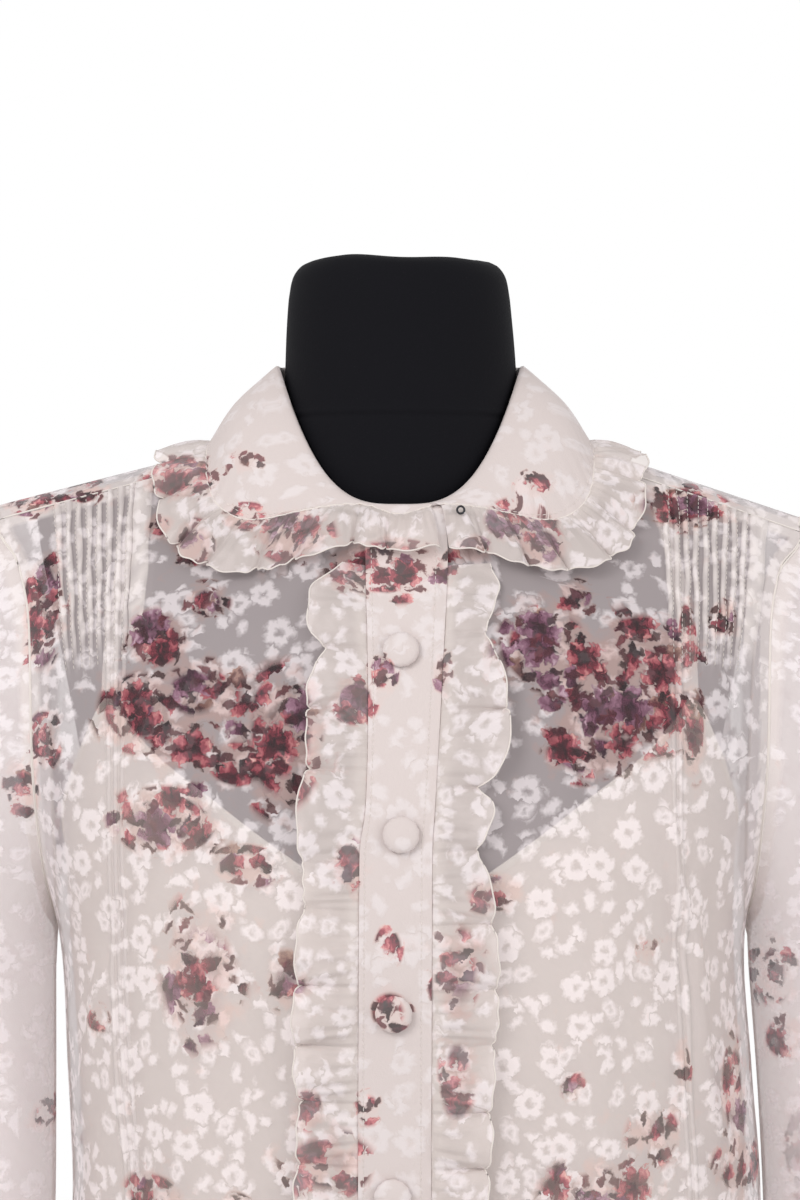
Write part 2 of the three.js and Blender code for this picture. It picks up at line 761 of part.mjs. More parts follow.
function strap(side) {
  const name = side < 0 ? 'right' : 'left';
  const start = rollOf(LINING_SHAPE, STRAP.frontX, STRAP.front);
  const end = -rollOf(LINING_SHAPE, STRAP.backX, STRAP.back);
  const rows = [];
  for (let k = 0; k <= STRAP.rows; k += 1) {
    const t = k / STRAP.rows;
    const roll = lerp(start, end, t);
    const middle = t < 0.5
      ? lerp(STRAP.frontX, STRAP.overX, smoothstep(t, 0, 0.5))
      : lerp(STRAP.overX, STRAP.backX, smoothstep(t, 0.5, 1));
    const onForm = smoothstep(Math.min(t, 1 - t), 0, 0.3);
    rows.push([-STRAP.half, STRAP.half].map((dx) => {
      const x = side * middle + dx;
      const low = surface(LINING_SHAPE, x, roll);
      low.y -= Math.sign(roll) * SEAM_SHIFT;
      return low.lerp(lifted(FORM_SHAPE, x, roll, STRAP_OFF), onForm);
    }));
  }
  add(`strap_${name}`, wall(rows, SATIN), 'satin');
}

// Covered buttons, domed in front and flat where they sit on the placket
function button(index, { x, z }) {
  const { radius, thick } = BUTTON;
  const profile = [
    [0, 0],
    [radius * 0.82, 0],
    [radius, thick * 0.3],
    [radius * 0.94, thick * 0.68],
    [radius * 0.6, thick * 0.93],
    [0, thick],
  ].map(([r, h]) => new THREE.Vector2(r, h));
  const mesh = add(`button_${index + 1}`, new THREE.LatheGeometry(profile, 16), 'band');
  const foot = PLACKET_OFF + BAND / 2 + GAP + 0.2;
  const low = frontAt(x, z, foot);
  const normal = frontAt(x, z, foot + 1).sub(low);
  mesh.position.copy(low);
  mesh.quaternion.setFromUnitVectors(new THREE.Vector3(0, 1, 0), normal.normalize());
}

function neckEye() {
  const at = lifted(BLOUSE, 28, degToRad(edgeRoll(22) + 0.5), LEAF_OFF + COLLAR / 2 + 0.6 + 2.3);
  const mesh = add('neck_eye', new THREE.TorusGeometry(1.8, 0.5, 6, 12), 'metal');
  mesh.position.copy(at);
  mesh.rotation.x = QUARTER;
}

// The dress form: a rolled torso closed by a flat foot, joined to a turned neck
function formTorso() {
  const across = 12;
  const levels = [0, 60, 120, 180, 240, 300, 345, 390, 430, 470, 505, CHEST];
  const over = 7;
  const angles = [];
  for (let i = 0; i <= across; i += 1) angles.push(lerp(-QUARTER, QUARTER, i / across));
  const spots = [
    ...angles.map((angle) => ({ angle, face: 1 })),
    ...angles.slice(1, -1).reverse().map((angle) => ({ angle, face: -1 })),
  ];
  const pointAt = ({ angle, face }, level, v) => {
    const side = Math.sign(angle);
    const share = reachOf(Math.abs(angle), 1);
    let x = side * share * FORM_SHAPE.half(level);
    let roll = 0;
    for (let pass = 0; pass < 8; pass += 1) {
      roll = rollOf(FORM_SHAPE, x, level) * (1 - v);
      x = side * share * FORM_SHAPE.half(heightOf(FORM_SHAPE, x, roll));
    }
    const point = surface(FORM_SHAPE, x, roll);
    point.y *= face > 0 ? 1 : FORM_SHAPE.back(point.z) / FORM_SHAPE.front(point.z);
    point.y *= face;
    if (Math.abs(angle) === QUARTER || v === 1) point.y = 0;
    return point;
  };
  const rings = levels.map((z) => spots.map((spot) => pointAt(spot, z, 0)));
  for (let k = 1; k <= over; k += 1) {
    rings.push(spots.map((spot) => pointAt(spot, CHEST, k / over)));
  }
  const wide = spots.length;
  const points = rings.flat();
  const mirror = (i) => (i > across ? wide - i : i);
  const top = (rings.length - 1) * wide;
  const index = (i, j) => (j === rings.length - 1 ? top + mirror(i % wide) : j * wide + (i % wide));
  const foot = points.length;
  points.push(new THREE.Vector3(0, 0, 0));
  const faces = [];
  const face = (a, b, c) => {
    if (a !== b && b !== c && c !== a) faces.push([a, b, c]);
  };
  for (let j = 0; j < rings.length - 1; j += 1) {
    for (let i = 0; i < wide; i += 1) {
      face(index(i, j), index(i + 1, j), index(i + 1, j + 1));
      face(index(i, j), index(i + 1, j + 1), index(i, j + 1));
    }
  }
  for (let i = 0; i < wide; i += 1) face(foot, index(i + 1, 0), index(i, 0));
  return { points, faces };
}

const NECK = table(['r', 'z'], [
  [0, 640],
  [56, 640],
  [60.5, 676],
  [60.8, 700],
  [60, 730],
  [58, 765],
  [55.5, 785],
  [51, 792.5],
  [44, FORM_TOP],
  [0, FORM_TOP],
]);
const NECK_SIDES = 32;

function neckSolid() {
  const points = [];
  const faces = [];
  const rings = NECK.slice(1, -1);
  for (const { r, z } of rings) {
    for (let i = 0; i < NECK_SIDES; i += 1) {
      const angle = 2 * Math.PI * i / NECK_SIDES;
      points.push(new THREE.Vector3(r * Math.cos(angle), r * Math.sin(angle), z));
    }
  }
  const low = points.push(new THREE.Vector3(0, 0, NECK[0].z)) - 1;
  const high = points.push(new THREE.Vector3(0, 0, FORM_TOP)) - 1;
  const last = rings.length - 1;
  for (let i = 0; i < NECK_SIDES; i += 1) {
    const next = (i + 1) % NECK_SIDES;
    for (let j = 0; j < last; j += 1) {
      const a = j * NECK_SIDES;
      const b = a + NECK_SIDES;
      faces.push([a + i, a + next, b + next], [a + i, b + next, b + i]);
    }
    faces.push([low, next, i], [high, last * NECK_SIDES + i, last * NECK_SIDES + next]);
  }
  return { points, faces };
}

function manifoldOf({ points, faces }) {
  const used = new Map();
  const vertProperties = [];
  const triVerts = faces.flat().map((v) => {
    if (!used.has(v)) {
      used.set(v, used.size);
      vertProperties.push(points[v].x, points[v].y, points[v].z);
    }
    return used.get(v);
  });
  return new wasm.Manifold(new wasm.Mesh({
    numProp: 3,
    vertProperties: new Float32Array(vertProperties),
    triVerts: new Uint32Array(triVerts),
  }));
}

function form() {
  const whole = manifoldOf(formTorso()).add(manifoldOf(neckSolid())).getMesh();
  const geometry = new THREE.BufferGeometry();
  geometry.setAttribute('position', new THREE.Float32BufferAttribute(whole.vertProperties, 3));
  geometry.setIndex([...whole.triVerts]);
  add('form', geometry, 'jersey');
}

sleeve(-1);
sleeve(1);
placket();
frontFrill(-1);
frontFrill(1);
collar();
collarFrill();
lining('lining_front', 1, LINING_FRONT);
lining('lining_back', -1, LINING_BACK);
strap(-1);
strap(1);
BUTTONS.forEach((spot, index) => button(index, spot));
neckEye();
form();

export default blouse;
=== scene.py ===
"""Looks of a sheer printed blouse with its camisole lining, worn by a limbless dress form.

Every size and place is in millimetres until a piece is made, when MM turns it into metres.
The front faces -Y, the wearer's left side is +X, and the form's foot is at Z = 0.
"""

import math

import bpy
import numpy as np
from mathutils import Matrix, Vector


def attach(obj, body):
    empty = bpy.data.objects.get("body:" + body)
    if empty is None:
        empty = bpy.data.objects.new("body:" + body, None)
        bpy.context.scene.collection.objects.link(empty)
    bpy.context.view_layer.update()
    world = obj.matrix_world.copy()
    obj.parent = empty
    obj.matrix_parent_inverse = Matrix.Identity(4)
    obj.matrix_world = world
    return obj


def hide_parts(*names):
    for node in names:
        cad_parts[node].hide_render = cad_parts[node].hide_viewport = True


bl_info = {
    "name": "Blouse on a dress form",
    "version": (1, 0, 0),
    "blender": (4, 5, 0),
    "location": "3D View > Sidebar > Blouse",
    "description": "Builds the cloth, the sewing and the finishes of a sheer printed blouse",
    "category": "Object",
}

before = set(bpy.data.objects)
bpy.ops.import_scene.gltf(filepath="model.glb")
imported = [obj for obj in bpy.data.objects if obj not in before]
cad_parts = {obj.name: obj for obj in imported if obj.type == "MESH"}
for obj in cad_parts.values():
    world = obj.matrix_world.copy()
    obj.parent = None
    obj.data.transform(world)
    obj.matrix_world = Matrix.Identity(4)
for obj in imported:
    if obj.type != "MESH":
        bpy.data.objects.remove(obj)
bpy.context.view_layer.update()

MM = 0.001
QUARTER = math.pi / 2
TURN = 2 * math.pi
SIDES = {"right": -1, "left": 1}

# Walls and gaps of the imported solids, which the cloth keeps to
CLOTH = 1.2
SATIN = 1.0
BAND = 1.5
COLLAR = 1.6
GAP = 0.35
SEAM_SHIFT = 0.25
STITCH_OFF = 0.15
SEAM_RADIUS = 0.55
EDGE_RADIUS = 0.45
CUFF_HEM = 6
WALL_CREASE = 60

# Heights
HEM = 60
UNDERARM = 450
CHEST = 540
NECK_PIT = 660
LINING_HEM = 90
FORM_TOP = 796

# The shoulder ridge, the rounding over it and the sections' exponent
RIDGE_AT = 122.5
RIDGE_Z = 691
RIDGE_SLOPE = {"inner": 0.3, "right": 0.258, "left": 0.335}
NECK_RISE = 26
NECK_REACH = 85
NAPE = 12
ROUNDING = 140
PLUMP = 2.3
SEAM_DROP = 8.2
TIP_X = 206
NECK_SIDE_X = 72

# Sections: height, half width, lean to the side, depth in front, depth behind
BLOUSE_SECTIONS = [
    (60, 183, 5, 122, 124),
    (200, 179, 7, 127, 119),
    (320, 177, 8.5, 131.8, 113),
    (380, 176, 5, 134.6, 110),
    (450, 176.5, 1, 137, 108),
    (500, 190, 0, 133, 108),
    (540, 202, 0, 124, 107),
    (600, 208, 0, 104, 101),
    (640, 214, 0, 84, 95),
    (670, 222, 0, 74, 92),
    (710, 226, 0, 68, 90),
    (760, 228, 0, 66, 88),
]
LINING_SECTIONS = [
    (90, 176, 5, 117, 119),
    (200, 173, 6.5, 122, 114),
    (320, 170.5, 8, 126, 108),
    (380, 169.5, 5, 130.5, 105.5),
    (450, 170, 1, 133, 104),
    (500, 172.5, 0, 129, 104),
    (540, 177, 0, 119.5, 103),
    (580, 183, 0, 107, 100),
    (640, 195, 0, 85, 90),
    (710, 200, 0, 70, 80),
]
FORM_SECTIONS = [
    (0, 158, 0, 98, 110),
    (100, 162, 0, 100, 113),
    (200, 152, 0, 96, 99),
    (300, 128, 0, 88, 83),
    (380, 142, 0, 104, 89),
    (440, 152, 0, 129, 97),
    (500, 158, 0, 121, 99),
    (560, 168, 0, 101, 97),
    (620, 180, 0, 82, 88),
    (650, 186, 0, 71, 82),
    (700, 190, 0, 62, 78),
    (760, 190, 0, 60, 76),
]
NECK_PROFILE = [
    (56, 640),
    (60.5, 676),
    (60.8, 700),
    (60, 730),
    (58, 765),
    (55.5, 785),
    (51, 792.5),
    (44, FORM_TOP),
]

# The armhole's distance from the middle, by height
ARMHOLE = [
    (450, 176.5),
    (470, 179.5),
    (500, 182),
    (540, 184.5),
    (600, 187),
    (620, 189.5),
    (640, 195.5),
    (661, 206),
    (690, 214),
]

# Soft vertical folds: face (1 in front), x, width, depth, top
FOLDS = [
    (1, -118, 20, 4, 430),
    (1, -80, 17, -3, 380),
    (1, 76, 18, -3, 400),
    (1, 112, 20, 4.5, 440),
    (-1, -118, 22, 4, 470),
    (-1, -66, 20, -2, 430),
    (-1, -14, 22, 4, 440),
    (-1, 48, 20, -2, 420),
    (-1, 104, 24, 4.5, 480),
]
FOLD_FADE = 240

# The placket's edges by height, and the buttons' middles
PLACKET = [
    (60, -20, 15),
    (495, -19.5, 15.5),
    (520, -16.5, 17),
    (570, -15.5, 20),
    (640, -17, 23.5),
    (657, -17, 22.5),
]
BUTTONS = [(0.5, 594), (0.5, 505.5), (-3, 420), (-3.5, 331), (-3, 243), (-3, 155)]
BUTTON_RADIUS = 9
BUTTON_THICK = 4.6

# Outer edges of the collar and its frill: turn round the neck, x, roll over the shoulder in degrees
COLLAR_EDGE = [
    (-16, -20, 63),
    (0, 0, 68),
    (16, 20, 63),
    (34, 50, 55),
    (53, 82, 46),
    (70, 95, 36),
    (90, 98, 17),
    (102, 96, -1),
    (122, 85, -27),
    (150, 52, -43),
    (180, 0, -56),
    (210, -52, -43),
]
FRILL_EDGE = [
    (-16, -24, 72),
    (0, 0, 77),
    (16, 24, 72),
    (34, 60, 65),
    (53, 100, 56),
    (70, 118, 43),
    (90, 123.5, 15),
    (102, 121, -5),
    (122, 108, -30),
    (150, 67, -51),
    (180, 0, -70),
    (210, -67, -51),
]
COLLAR_START = 13.3
COLLAR_END = 372.7
CORNER_SLANT = 2.4
NECK_CURVE = 3.0
FOLD_RING = {"side": 63, "front": 67, "back": 66}
FOLD_Z = {"pit": 667, "side": 738, "back": 746}
BACK_NECK = [
    (0, -54),
    (23, -46),
    (43, -34),
    (57, -23),
    (63.5, -14.5),
    (67.5, -5),
    (70, 6),
    (NECK_SIDE_X, 18.7),
]

# Top edges of the lining's halves by distance from the middle, and the straps
LINING_FRONT_TOP = [
    (0, 462.5),
    (22, 474),
    (50, 492),
    (90, 521),
    (120, 543),
    (138, 562),
    (145, 573),
    (150, 567),
    (158, 550),
    (166, 530),
]
LINING_BACK_TOP = [
    (0, 560),
    (40, 562),
    (80, 570),
    (112, 582),
    (124, 590),
    (136, 576),
    (152, 548),
    (165, 520),
]
LINING_SIDE_Z = 500
STRAP = {
    "half": 4, "off": 1.3, "front": 573.6, "back": 590.6, "front_x": 145, "over_x": 127, "back_x": 124,
}

# The lining's bound edge: its thickness, and its rows' distances down from the top
BINDING = 0.7
BINDING_ROWS = (4.4, 2.2, 0.0)

# Sleeves: the bend's turn, reach, depth and drop, then the hanging rings
SLEEVE_BEND = [
    (20, 196, 50, 3),
    (34, 172, 47, 6),
    (48, 152, 44, 9),
    (62, 136, 42, 13),
    (76, 124, 40, 17),
    (90, 117, 38, 24),
]
SLEEVE_HANG = [
    (450, 176.7, 179.2, 117, 38),
    (426, 177.6, 180.4, 116, 38),
    (370, 177.6, 184.6, 113, 36),
    (310, 178, 187.6, 110, 34),
    (250, 180.5, 188.6, 107, 33),
    (190, 184, 189.5, 103, 31),
    (130, 187, 191.5, 99, 29),
    (75, 189, 193.5, 96, 28),
]
BOW_RINGS = 4

# Where the printed blossoms gather in front: x, z, reach across, reach up
BLOSSOMS_FRONT = [
    (-120, 600, 13, 12),
    (-97, 619, 9, 8),
    (-127, 566, 20, 18),
    (-100, 573, 20, 15),
    (-109, 551, 16, 12),
    (-58, 552, 17, 28),
    (-80, 541, 14, 11),
    (-115, 512, 22, 14),
    (-75, 490, 14, 8),
    (-181, 615, 9, 24),
    (-178, 549, 7, 11),
    (-190, 525, 7, 11),
    (-96, 438, 18, 30),
    (-55, 435, 10, 11),
    (-122, 328, 15, 11),
    (-80, 322, 9, 9),
    (-36, 345, 21, 15),
    (-45, 373, 7, 11),
    (-150, 412, 6, 6),
    (75, 597, 22, 19),
    (100, 575, 25, 24),
    (121, 590, 21, 18),
    (124, 566, 18, 18),
    (95, 545, 20, 11),
    (88, 622, 8, 7),
    (145, 667, 20, 9),
    (162, 610, 6, 8),
    (143, 600, 4, 15),
    (146, 555, 5, 20),
    (47, 477, 13, 7),
    (28, 440, 12, 22),
    (122, 449, 6, 6),
    (82, 382, 6, 6),
    (125, 357, 14, 15),
    (95, 330, 24, 15),
    (168, 375, 7, 28),
    (170, 335, 12, 13),
    (140, 390, 4, 12),
    (28, 392, 8, 18),
    (-183, 356, 6, 9),
    (191, 430, 9, 18),
    (196, 396, 10, 12),
    (-162, 675, 8, 6),
    (-190, 670, 11, 6),
    (-122, 657, 6, 5),
    (-110, 682, 17, 9),
    (-104, 648, 8, 10),
    (-77, 662, 10, 6),
    (-77, 690, 7, 5),
    (-54, 652, 15, 12),
    (60, 660, 14, 9),
    (67, 677, 8, 6),
    (72, 646, 8, 9),
    (37, 646, 7, 5),
    (-6, 636, 27, 12),
    (-22, 571, 9, 9),
    (-9, 584, 6, 8),
    (20, 585, 4, 9),
    (-25, 490, 6, 10),
    (-5, 452, 6, 9),
    (-5, 421, 9, 9),
    (-15, 375, 6, 8),
    (60, 270, 22, 16),
    (-70, 262, 18, 24),
    (125, 240, 16, 20),
    (-128, 215, 20, 14),
    (20, 200, 14, 18),
    (-40, 160, 24, 16),
    (85, 150, 20, 22),
    (-105, 110, 16, 18),
    (140, 100, 16, 14),
    (35, 88, 20, 12),
]
BACK_CLUSTERS = 46
SLEEVE_CLUSTERS = 26
CLUSTER_SEED = 11
CLUSTER_REACH = (9, 24)


def smoothstep(x, low, high):
    """0 below low, 1 above high, smooth between."""
    t = np.clip((np.asarray(x, float) - low) / (high - low), 0, 1)
    return t * t * (3 - 2 * t)


def lerp(a, b, t):
    """The place a share t of the way from a to b."""
    return a + (b - a) * t


def unit(vectors):
    """The vectors at length 1."""
    return vectors / np.maximum(np.linalg.norm(vectors, axis=-1, keepdims=True), 1e-9)


def eased(start, end, start_slope, end_slope, t, span=1):
    """A smooth way from start to end by the share t, with the slopes at both given over a span."""
    s = 1 - t
    ends = start * (1 + 2 * t) * s * s + end * (1 + 2 * s) * t * t
    return ends + span * t * s * (start_slope * s - end_slope * t)


def curve(at, value):
    """A smooth curve through values, which runs on straight past its ends."""
    at = np.asarray(at, float)
    value = np.asarray(value, float)
    low = np.maximum(np.arange(len(at)) - 1, 0)
    high = np.minimum(np.arange(len(at)) + 1, len(at) - 1)
    slope = (value[high] - value[low]) / (at[high] - at[low])

    def read(x):
        x = np.asarray(x, float)
        i = np.clip(np.searchsorted(at, x) - 1, 0, len(at) - 2)
        span = at[i + 1] - at[i]
        inside = eased(value[i], value[i + 1], slope[i], slope[i + 1], (x - at[i]) / span, span)
        before = value[0] + slope[0] * (x - at[0])
        after = value[-1] + slope[-1] * (x - at[-1])
        return np.where(x <= at[0], before, np.where(x >= at[-1], after, inside))

    return read


def curve_of(rows, column=1, at=0):
    """A smooth curve through one column of a table, by another."""
    return curve([row[at] for row in rows], [row[column] for row in rows])


def blend_rows(rows, steps):
    """Rows of points read at fractional steps, on a smooth curve through them."""
    last = len(rows) - 1
    low = np.maximum(np.arange(last + 1) - 1, 0)
    high = np.minimum(np.arange(last + 1) + 1, last)
    slope = (rows[high] - rows[low]) / (high - low).reshape(-1, *[1] * (rows.ndim - 1))
    i = np.clip(np.floor(steps).astype(int), 0, last - 1)
    t = (steps - i).reshape(-1, *[1] * (rows.ndim - 1))
    return eased(rows[i], rows[i + 1], slope[i], slope[i + 1], t)


class Worn:
    """A surface worn over the shoulders. A roll is the angle over the ridge, positive in front."""

    def __init__(self, rows, drop, rise=NECK_RISE, folds=()):
        self.half, self.lean, self.front, self.back = (curve_of(rows, k) for k in range(1, 5))
        self.drop = drop
        self.rise = rise
        self.folds = folds

    def ridge(self, x):
        """The height of the shoulder ridge."""
        out = np.hypot(x, NAPE)
        outer = np.where(np.asarray(x) < 0, RIDGE_SLOPE["right"], RIDGE_SLOPE["left"])
        slope = np.where(out > RIDGE_AT, outer, RIDGE_SLOPE["inner"])
        swell = self.rise * np.maximum(0, 1 - (out / NECK_REACH) ** 2) ** 2
        return RIDGE_Z - slope * (out - RIDGE_AT) + swell - self.drop

    def roll(self, x, z):
        """The roll of a place at height z."""
        fall = self.ridge(x) - z
        over = np.arccos(np.clip(1 - fall / ROUNDING, -1, 1))
        return np.where(fall < ROUNDING, over, QUARTER + fall / ROUNDING - 1)

    def height(self, x, roll):
        """The height of a place at a roll."""
        turn = np.abs(roll)
        fall = np.where(turn < QUARTER, 1 - np.cos(turn), 1 + turn - QUARTER)
        return self.ridge(x) - ROUNDING * fall

    def fold(self, x, z, face):
        """How far the soft folds stand out."""
        deep = np.zeros_like(x)
        for side, middle, wide, depth, top in self.folds:
            fade = smoothstep(top - z, 0, FOLD_FADE)
            deep += (face == side) * depth * fade * np.exp(-(((x - middle) / wide) ** 2))
        return deep

    def point(self, x, roll):
        """The surface's point at x and a roll."""
        x, roll = np.broadcast_arrays(np.asarray(x, float), np.asarray(roll, float))
        z = self.height(x, roll)
        across = np.minimum(np.abs(x - self.lean(z)) / self.half(z), 1)
        rounded = (1 - across**PLUMP) ** (1 / PLUMP)
        rolled = np.sin(np.minimum(np.abs(roll), QUARTER))
        face = np.where(roll > 0, 1, -1)
        deep = np.where(roll > 0, self.front(z), self.back(z)) * rounded * rolled
        deep = deep + self.fold(x, z, face) * rounded
        return np.stack([x, -face * deep, z], axis=-1)

    def lifted(self, x, roll, off):
        """The same point moved out along the surface's normal."""
        x = np.asarray(x, float)
        roll = np.asarray(roll, float)
        across = self.point(x + 0.5, roll) - self.point(x - 0.5, roll)
        down = self.point(x, roll + 0.01) - self.point(x, roll - 0.01)
        normal = unit(np.cross(down, across))
        return self.point(x, roll) + normal * np.asarray(off, float)[..., None]


BLOUSE = Worn(BLOUSE_SECTIONS, 0, folds=FOLDS)
LINING_SHAPE = Worn(LINING_SECTIONS, 2)
FORM_SHAPE = Worn(FORM_SECTIONS, 3.6, rise=0)
armhole_x = curve_of(ARMHOLE)
placket_edge = {"right": curve_of(PLACKET, 1), "left": curve_of(PLACKET, 2)}
back_neck_roll = curve_of(BACK_NECK)


def front_at(x, z, off):
    """A place on the blouse's front at height z, moved out by off."""
    return BLOUSE.lifted(x, BLOUSE.roll(x, z), off)


def arc(points, axis):
    """Lengths along a grid's rows (axis 1) or columns (axis 0), from its first point."""
    steps = np.linalg.norm(np.diff(points, axis=axis), axis=-1)
    start = np.zeros_like(np.take(points[..., 0], [0], axis=axis))
    return np.concatenate([start, np.cumsum(steps, axis=axis)], axis=axis)


def grid_normals(points):
    """Normals of a grid, out of the cloth's face."""
    return unit(np.cross(np.gradient(points, axis=1), np.gradient(points, axis=0)))


def grid_faces(rows, columns, start=0):
    """The quads of a grid of points."""
    index = start + np.arange(rows * columns).reshape(rows, columns)
    return np.stack(
        [index[:-1, :-1], index[:-1, 1:], index[1:, 1:], index[1:, :-1]], axis=-1
    ).reshape(-1, 4)


def wall(points, thick):
    """A closed wall of cloth through a grid, as points, quads and the grid's index of each point."""
    rows, columns = points.shape[:2]
    normal = grid_normals(points) * thick / 2
    count = rows * columns
    outer = np.arange(count).reshape(rows, columns)
    rim = np.concatenate([outer[0, :-1], outer[:-1, -1], outer[-1, :0:-1], outer[:0:-1, 0]])
    following = np.roll(rim, -1)
    edge = np.stack([following, rim, rim + count, following + count], axis=-1)
    faces = np.concatenate(
        [grid_faces(rows, columns), grid_faces(rows, columns, count)[:, ::-1], edge]
    )
    both = np.concatenate([(points + normal).reshape(-1, 3), (points - normal).reshape(-1, 3)])
    return both, faces, np.tile(np.arange(count), 2)


# How thin a thread's ends are beside its middle
END_TAPER = 0.3


def tube(path, radius, sides=6, closed=False):
    """A round tube along a path, as points and quads, with thin ends unless it runs round."""
    path = np.asarray(path, float)
    if closed:
        tangent = unit(np.roll(path, -1, 0) - np.roll(path, 1, 0))
    else:
        tangent = unit(np.gradient(path, axis=0))
    up = np.where(np.abs(tangent[:, 2:3]) < 0.8, [[0, 0, 1.0]], [[0, 1.0, 0]])
    first = unit(np.cross(tangent, up))
    second = np.cross(tangent, first)
    angle = np.arange(sides) * TURN / sides
    size = np.broadcast_to(radius, len(path)).astype(float).copy()
    if not closed:
        size[[0, -1]] *= END_TAPER
    ring = (
        first[:, None] * np.cos(angle)[None, :, None]
        + second[:, None] * np.sin(angle)[None, :, None]
    )
    points = path[:, None] + ring * size[:, None, None]
    index = np.arange(len(path) * sides).reshape(len(path), sides)
    ahead = np.roll(index, -1, axis=1)
    if closed:
        following = np.roll(index, -1, axis=0)
        along = np.roll(ahead, -1, axis=0)
        quads = np.stack([index, following, along, ahead], axis=-1)
    else:
        quads = np.stack([index[:-1], index[1:], ahead[1:], ahead[:-1]], axis=-1)
    return points.reshape(-1, 3), quads.reshape(-1, 4)


def resample(path, step):
    """A path read again at even steps."""
    path = np.asarray(path, float)
    along = np.concatenate([[0], np.cumsum(np.linalg.norm(np.diff(path, axis=0), axis=1))])
    count = max(int(round(along[-1] / step)), 2)
    at = np.linspace(0, along[-1], count + 1)
    return np.stack([np.interp(at, along, path[:, k]) for k in range(3)], axis=-1)


# Points along a stitch and the space after it
STITCH_STEPS = 6


def stitches(path, length=2.2, space=0.9, radius=0.2):
    """A row of stitches along a path: short bars with tapered ends."""
    pitch = length + space
    fine = resample(path, pitch / STITCH_STEPS)
    points = int(round(length / pitch * STITCH_STEPS)) + 1
    starts = range(0, len(fine) - STITCH_STEPS, STITCH_STEPS)
    return join([tube(fine[start : start + points], radius, sides=4) for start in starts])


def join(parts):
    """Several sets of points and faces as one."""
    points, faces, start = [], [], 0
    for own_points, own_faces in parts:
        points.append(own_points)
        faces.append(own_faces + start)
        start += len(own_points)
    return np.concatenate(points), np.concatenate(faces)


def clusters(seed, count, low, high):
    """Places where blossoms gather on cloth that the front view doesn't show."""
    random = np.random.default_rng(seed)
    across = random.uniform(low[0], high[0], count)
    up = random.uniform(low[1], high[1], count)
    wide = random.uniform(*CLUSTER_REACH, count)
    tall = random.uniform(*CLUSTER_REACH, count)
    return list(zip(across, up, wide, tall))


# How steeply the blossoms thin out round each place, and how much thinner they lie below the chest
BLOOM_FALL = 0.55
BLOOM_BELOW = 0.66
BLOOM_FADE = (455, 500)


def bloom_at(x, z, places):
    """How thickly the blossoms lie at a place, from 0 to 1."""
    most = np.zeros(np.shape(x))
    for middle, height, wide, tall in places:
        away = ((x - middle) / wide) ** 2 + ((z - height) / tall) ** 2
        most = np.maximum(most, np.exp(-BLOOM_FALL * away**1.5))
    return most


# Where the back, the sleeves and the frills are cut from the flat cloth, so that their prints differ
BACK_WEAVE = 900
SLEEVE_WEAVE = {"right": 1100, "left": 2300}
FRILL_WEAVE = {"frill_right": 2900, "frill_left": 3100, "collar_frill": 3300}

# On the back, by the place on its flat cloth, and on the collar behind the neck, by x and z
BACK_BLOSSOMS = clusters(CLUSTER_SEED, BACK_CLUSTERS, (-235, 15), (235, 660))
COLLAR_BLOSSOMS = [(-50, 716, 15, 9), (14, 726, 13, 8), (68, 708, 12, 10), (-16, 694, 11, 7)]


def make_piece(name, points, faces, finish, weave=None, bloom=None, dense=None, crease=0):
    """A mesh object that rides on the part's body, with what its finish reads from its points.

    Edges that bend by more than the crease, in degrees, are shown sharp.
    """
    mesh = bpy.data.meshes.new(name)
    mesh.from_pydata((np.asarray(points) * MM).tolist(), [], faces)
    mesh.validate()
    count = len(mesh.vertices)
    if weave is not None:
        spot = mesh.attributes.new("weave", "FLOAT_VECTOR", "POINT")
        flat = np.zeros((count, 3))
        flat[:, :2] = weave
        spot.data.foreach_set("vector", flat.ravel())
    for label, values in (("bloom", bloom), ("dense", dense)):
        if values is not None:
            spot = mesh.attributes.new(label, "FLOAT", "POINT")
            spot.data.foreach_set("value", np.broadcast_to(values, count).astype(float).ravel())
    mesh.shade_smooth()
    if crease:
        mesh.set_sharp_from_angle(angle=math.radians(crease))
    mesh.materials.append(FINISHES[finish])
    piece = bpy.data.objects.new(name, mesh)
    bpy.context.scene.collection.objects.link(piece)
    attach(piece, "root")
    return piece


def front_bloom(points):
    """Blossoms on a piece that the front view shows, and the collar's own behind the neck."""
    front = bloom_at(points[..., 0], points[..., 2], BLOSSOMS_FRONT)
    front = front * lerp(BLOOM_BELOW, 1, smoothstep(points[..., 2], *BLOOM_FADE))
    behind = bloom_at(points[..., 0], points[..., 2], COLLAR_BLOSSOMS)
    return np.where(points[..., 1] <= 0, front, behind)


def build_sheer(name, points, finish, weave, bloom, layers):
    """A piece of sheer cloth as a thin open sheet, in place of its solid."""
    faces = grid_faces(*points.shape[:2]).tolist()
    looks = {"weave": weave, "bloom": bloom.ravel(), "dense": layers.ravel()}
    piece = make_piece(f"{name}_cloth", points.reshape(-1, 3), faces, finish, **looks)
    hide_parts(name)
    return piece


def build_wall(name, points, thick, finish, slot, **looks):
    """A piece of opaque cloth as a closed wall, in place of its solid."""
    both, faces, own = wall(points, thick)
    looks = {label: values[own] for label, values in looks.items()}
    piece = make_piece(f"{name}_cloth", both, faces.tolist(), finish, crease=WALL_CREASE, **looks)
    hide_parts(name)
    return piece


def build_trim(name, parts):
    """Thread along a piece, made from sets of points and faces."""
    points, faces = join(parts)
    piece = make_piece(name, points, faces.tolist(), "edge")
    return piece


def build_edging(name, paths, radius):
    """A rolled edge or seam of thread along paths."""
    return build_trim(name, [tube(path, radius) for path in paths])


def build_stitching(name, paths, **sizes):
    """Rows of stitches along paths."""
    build_trim(name, [stitches(path, **sizes) for path in paths])


def build_hem(name, points):
    """A row of stitches just above a grid's hem."""
    face = points + grid_normals(points) * STITCH_OFF
    build_stitching(name, [face[1, 1:-1]])


# Finishes, filled in by the first operator

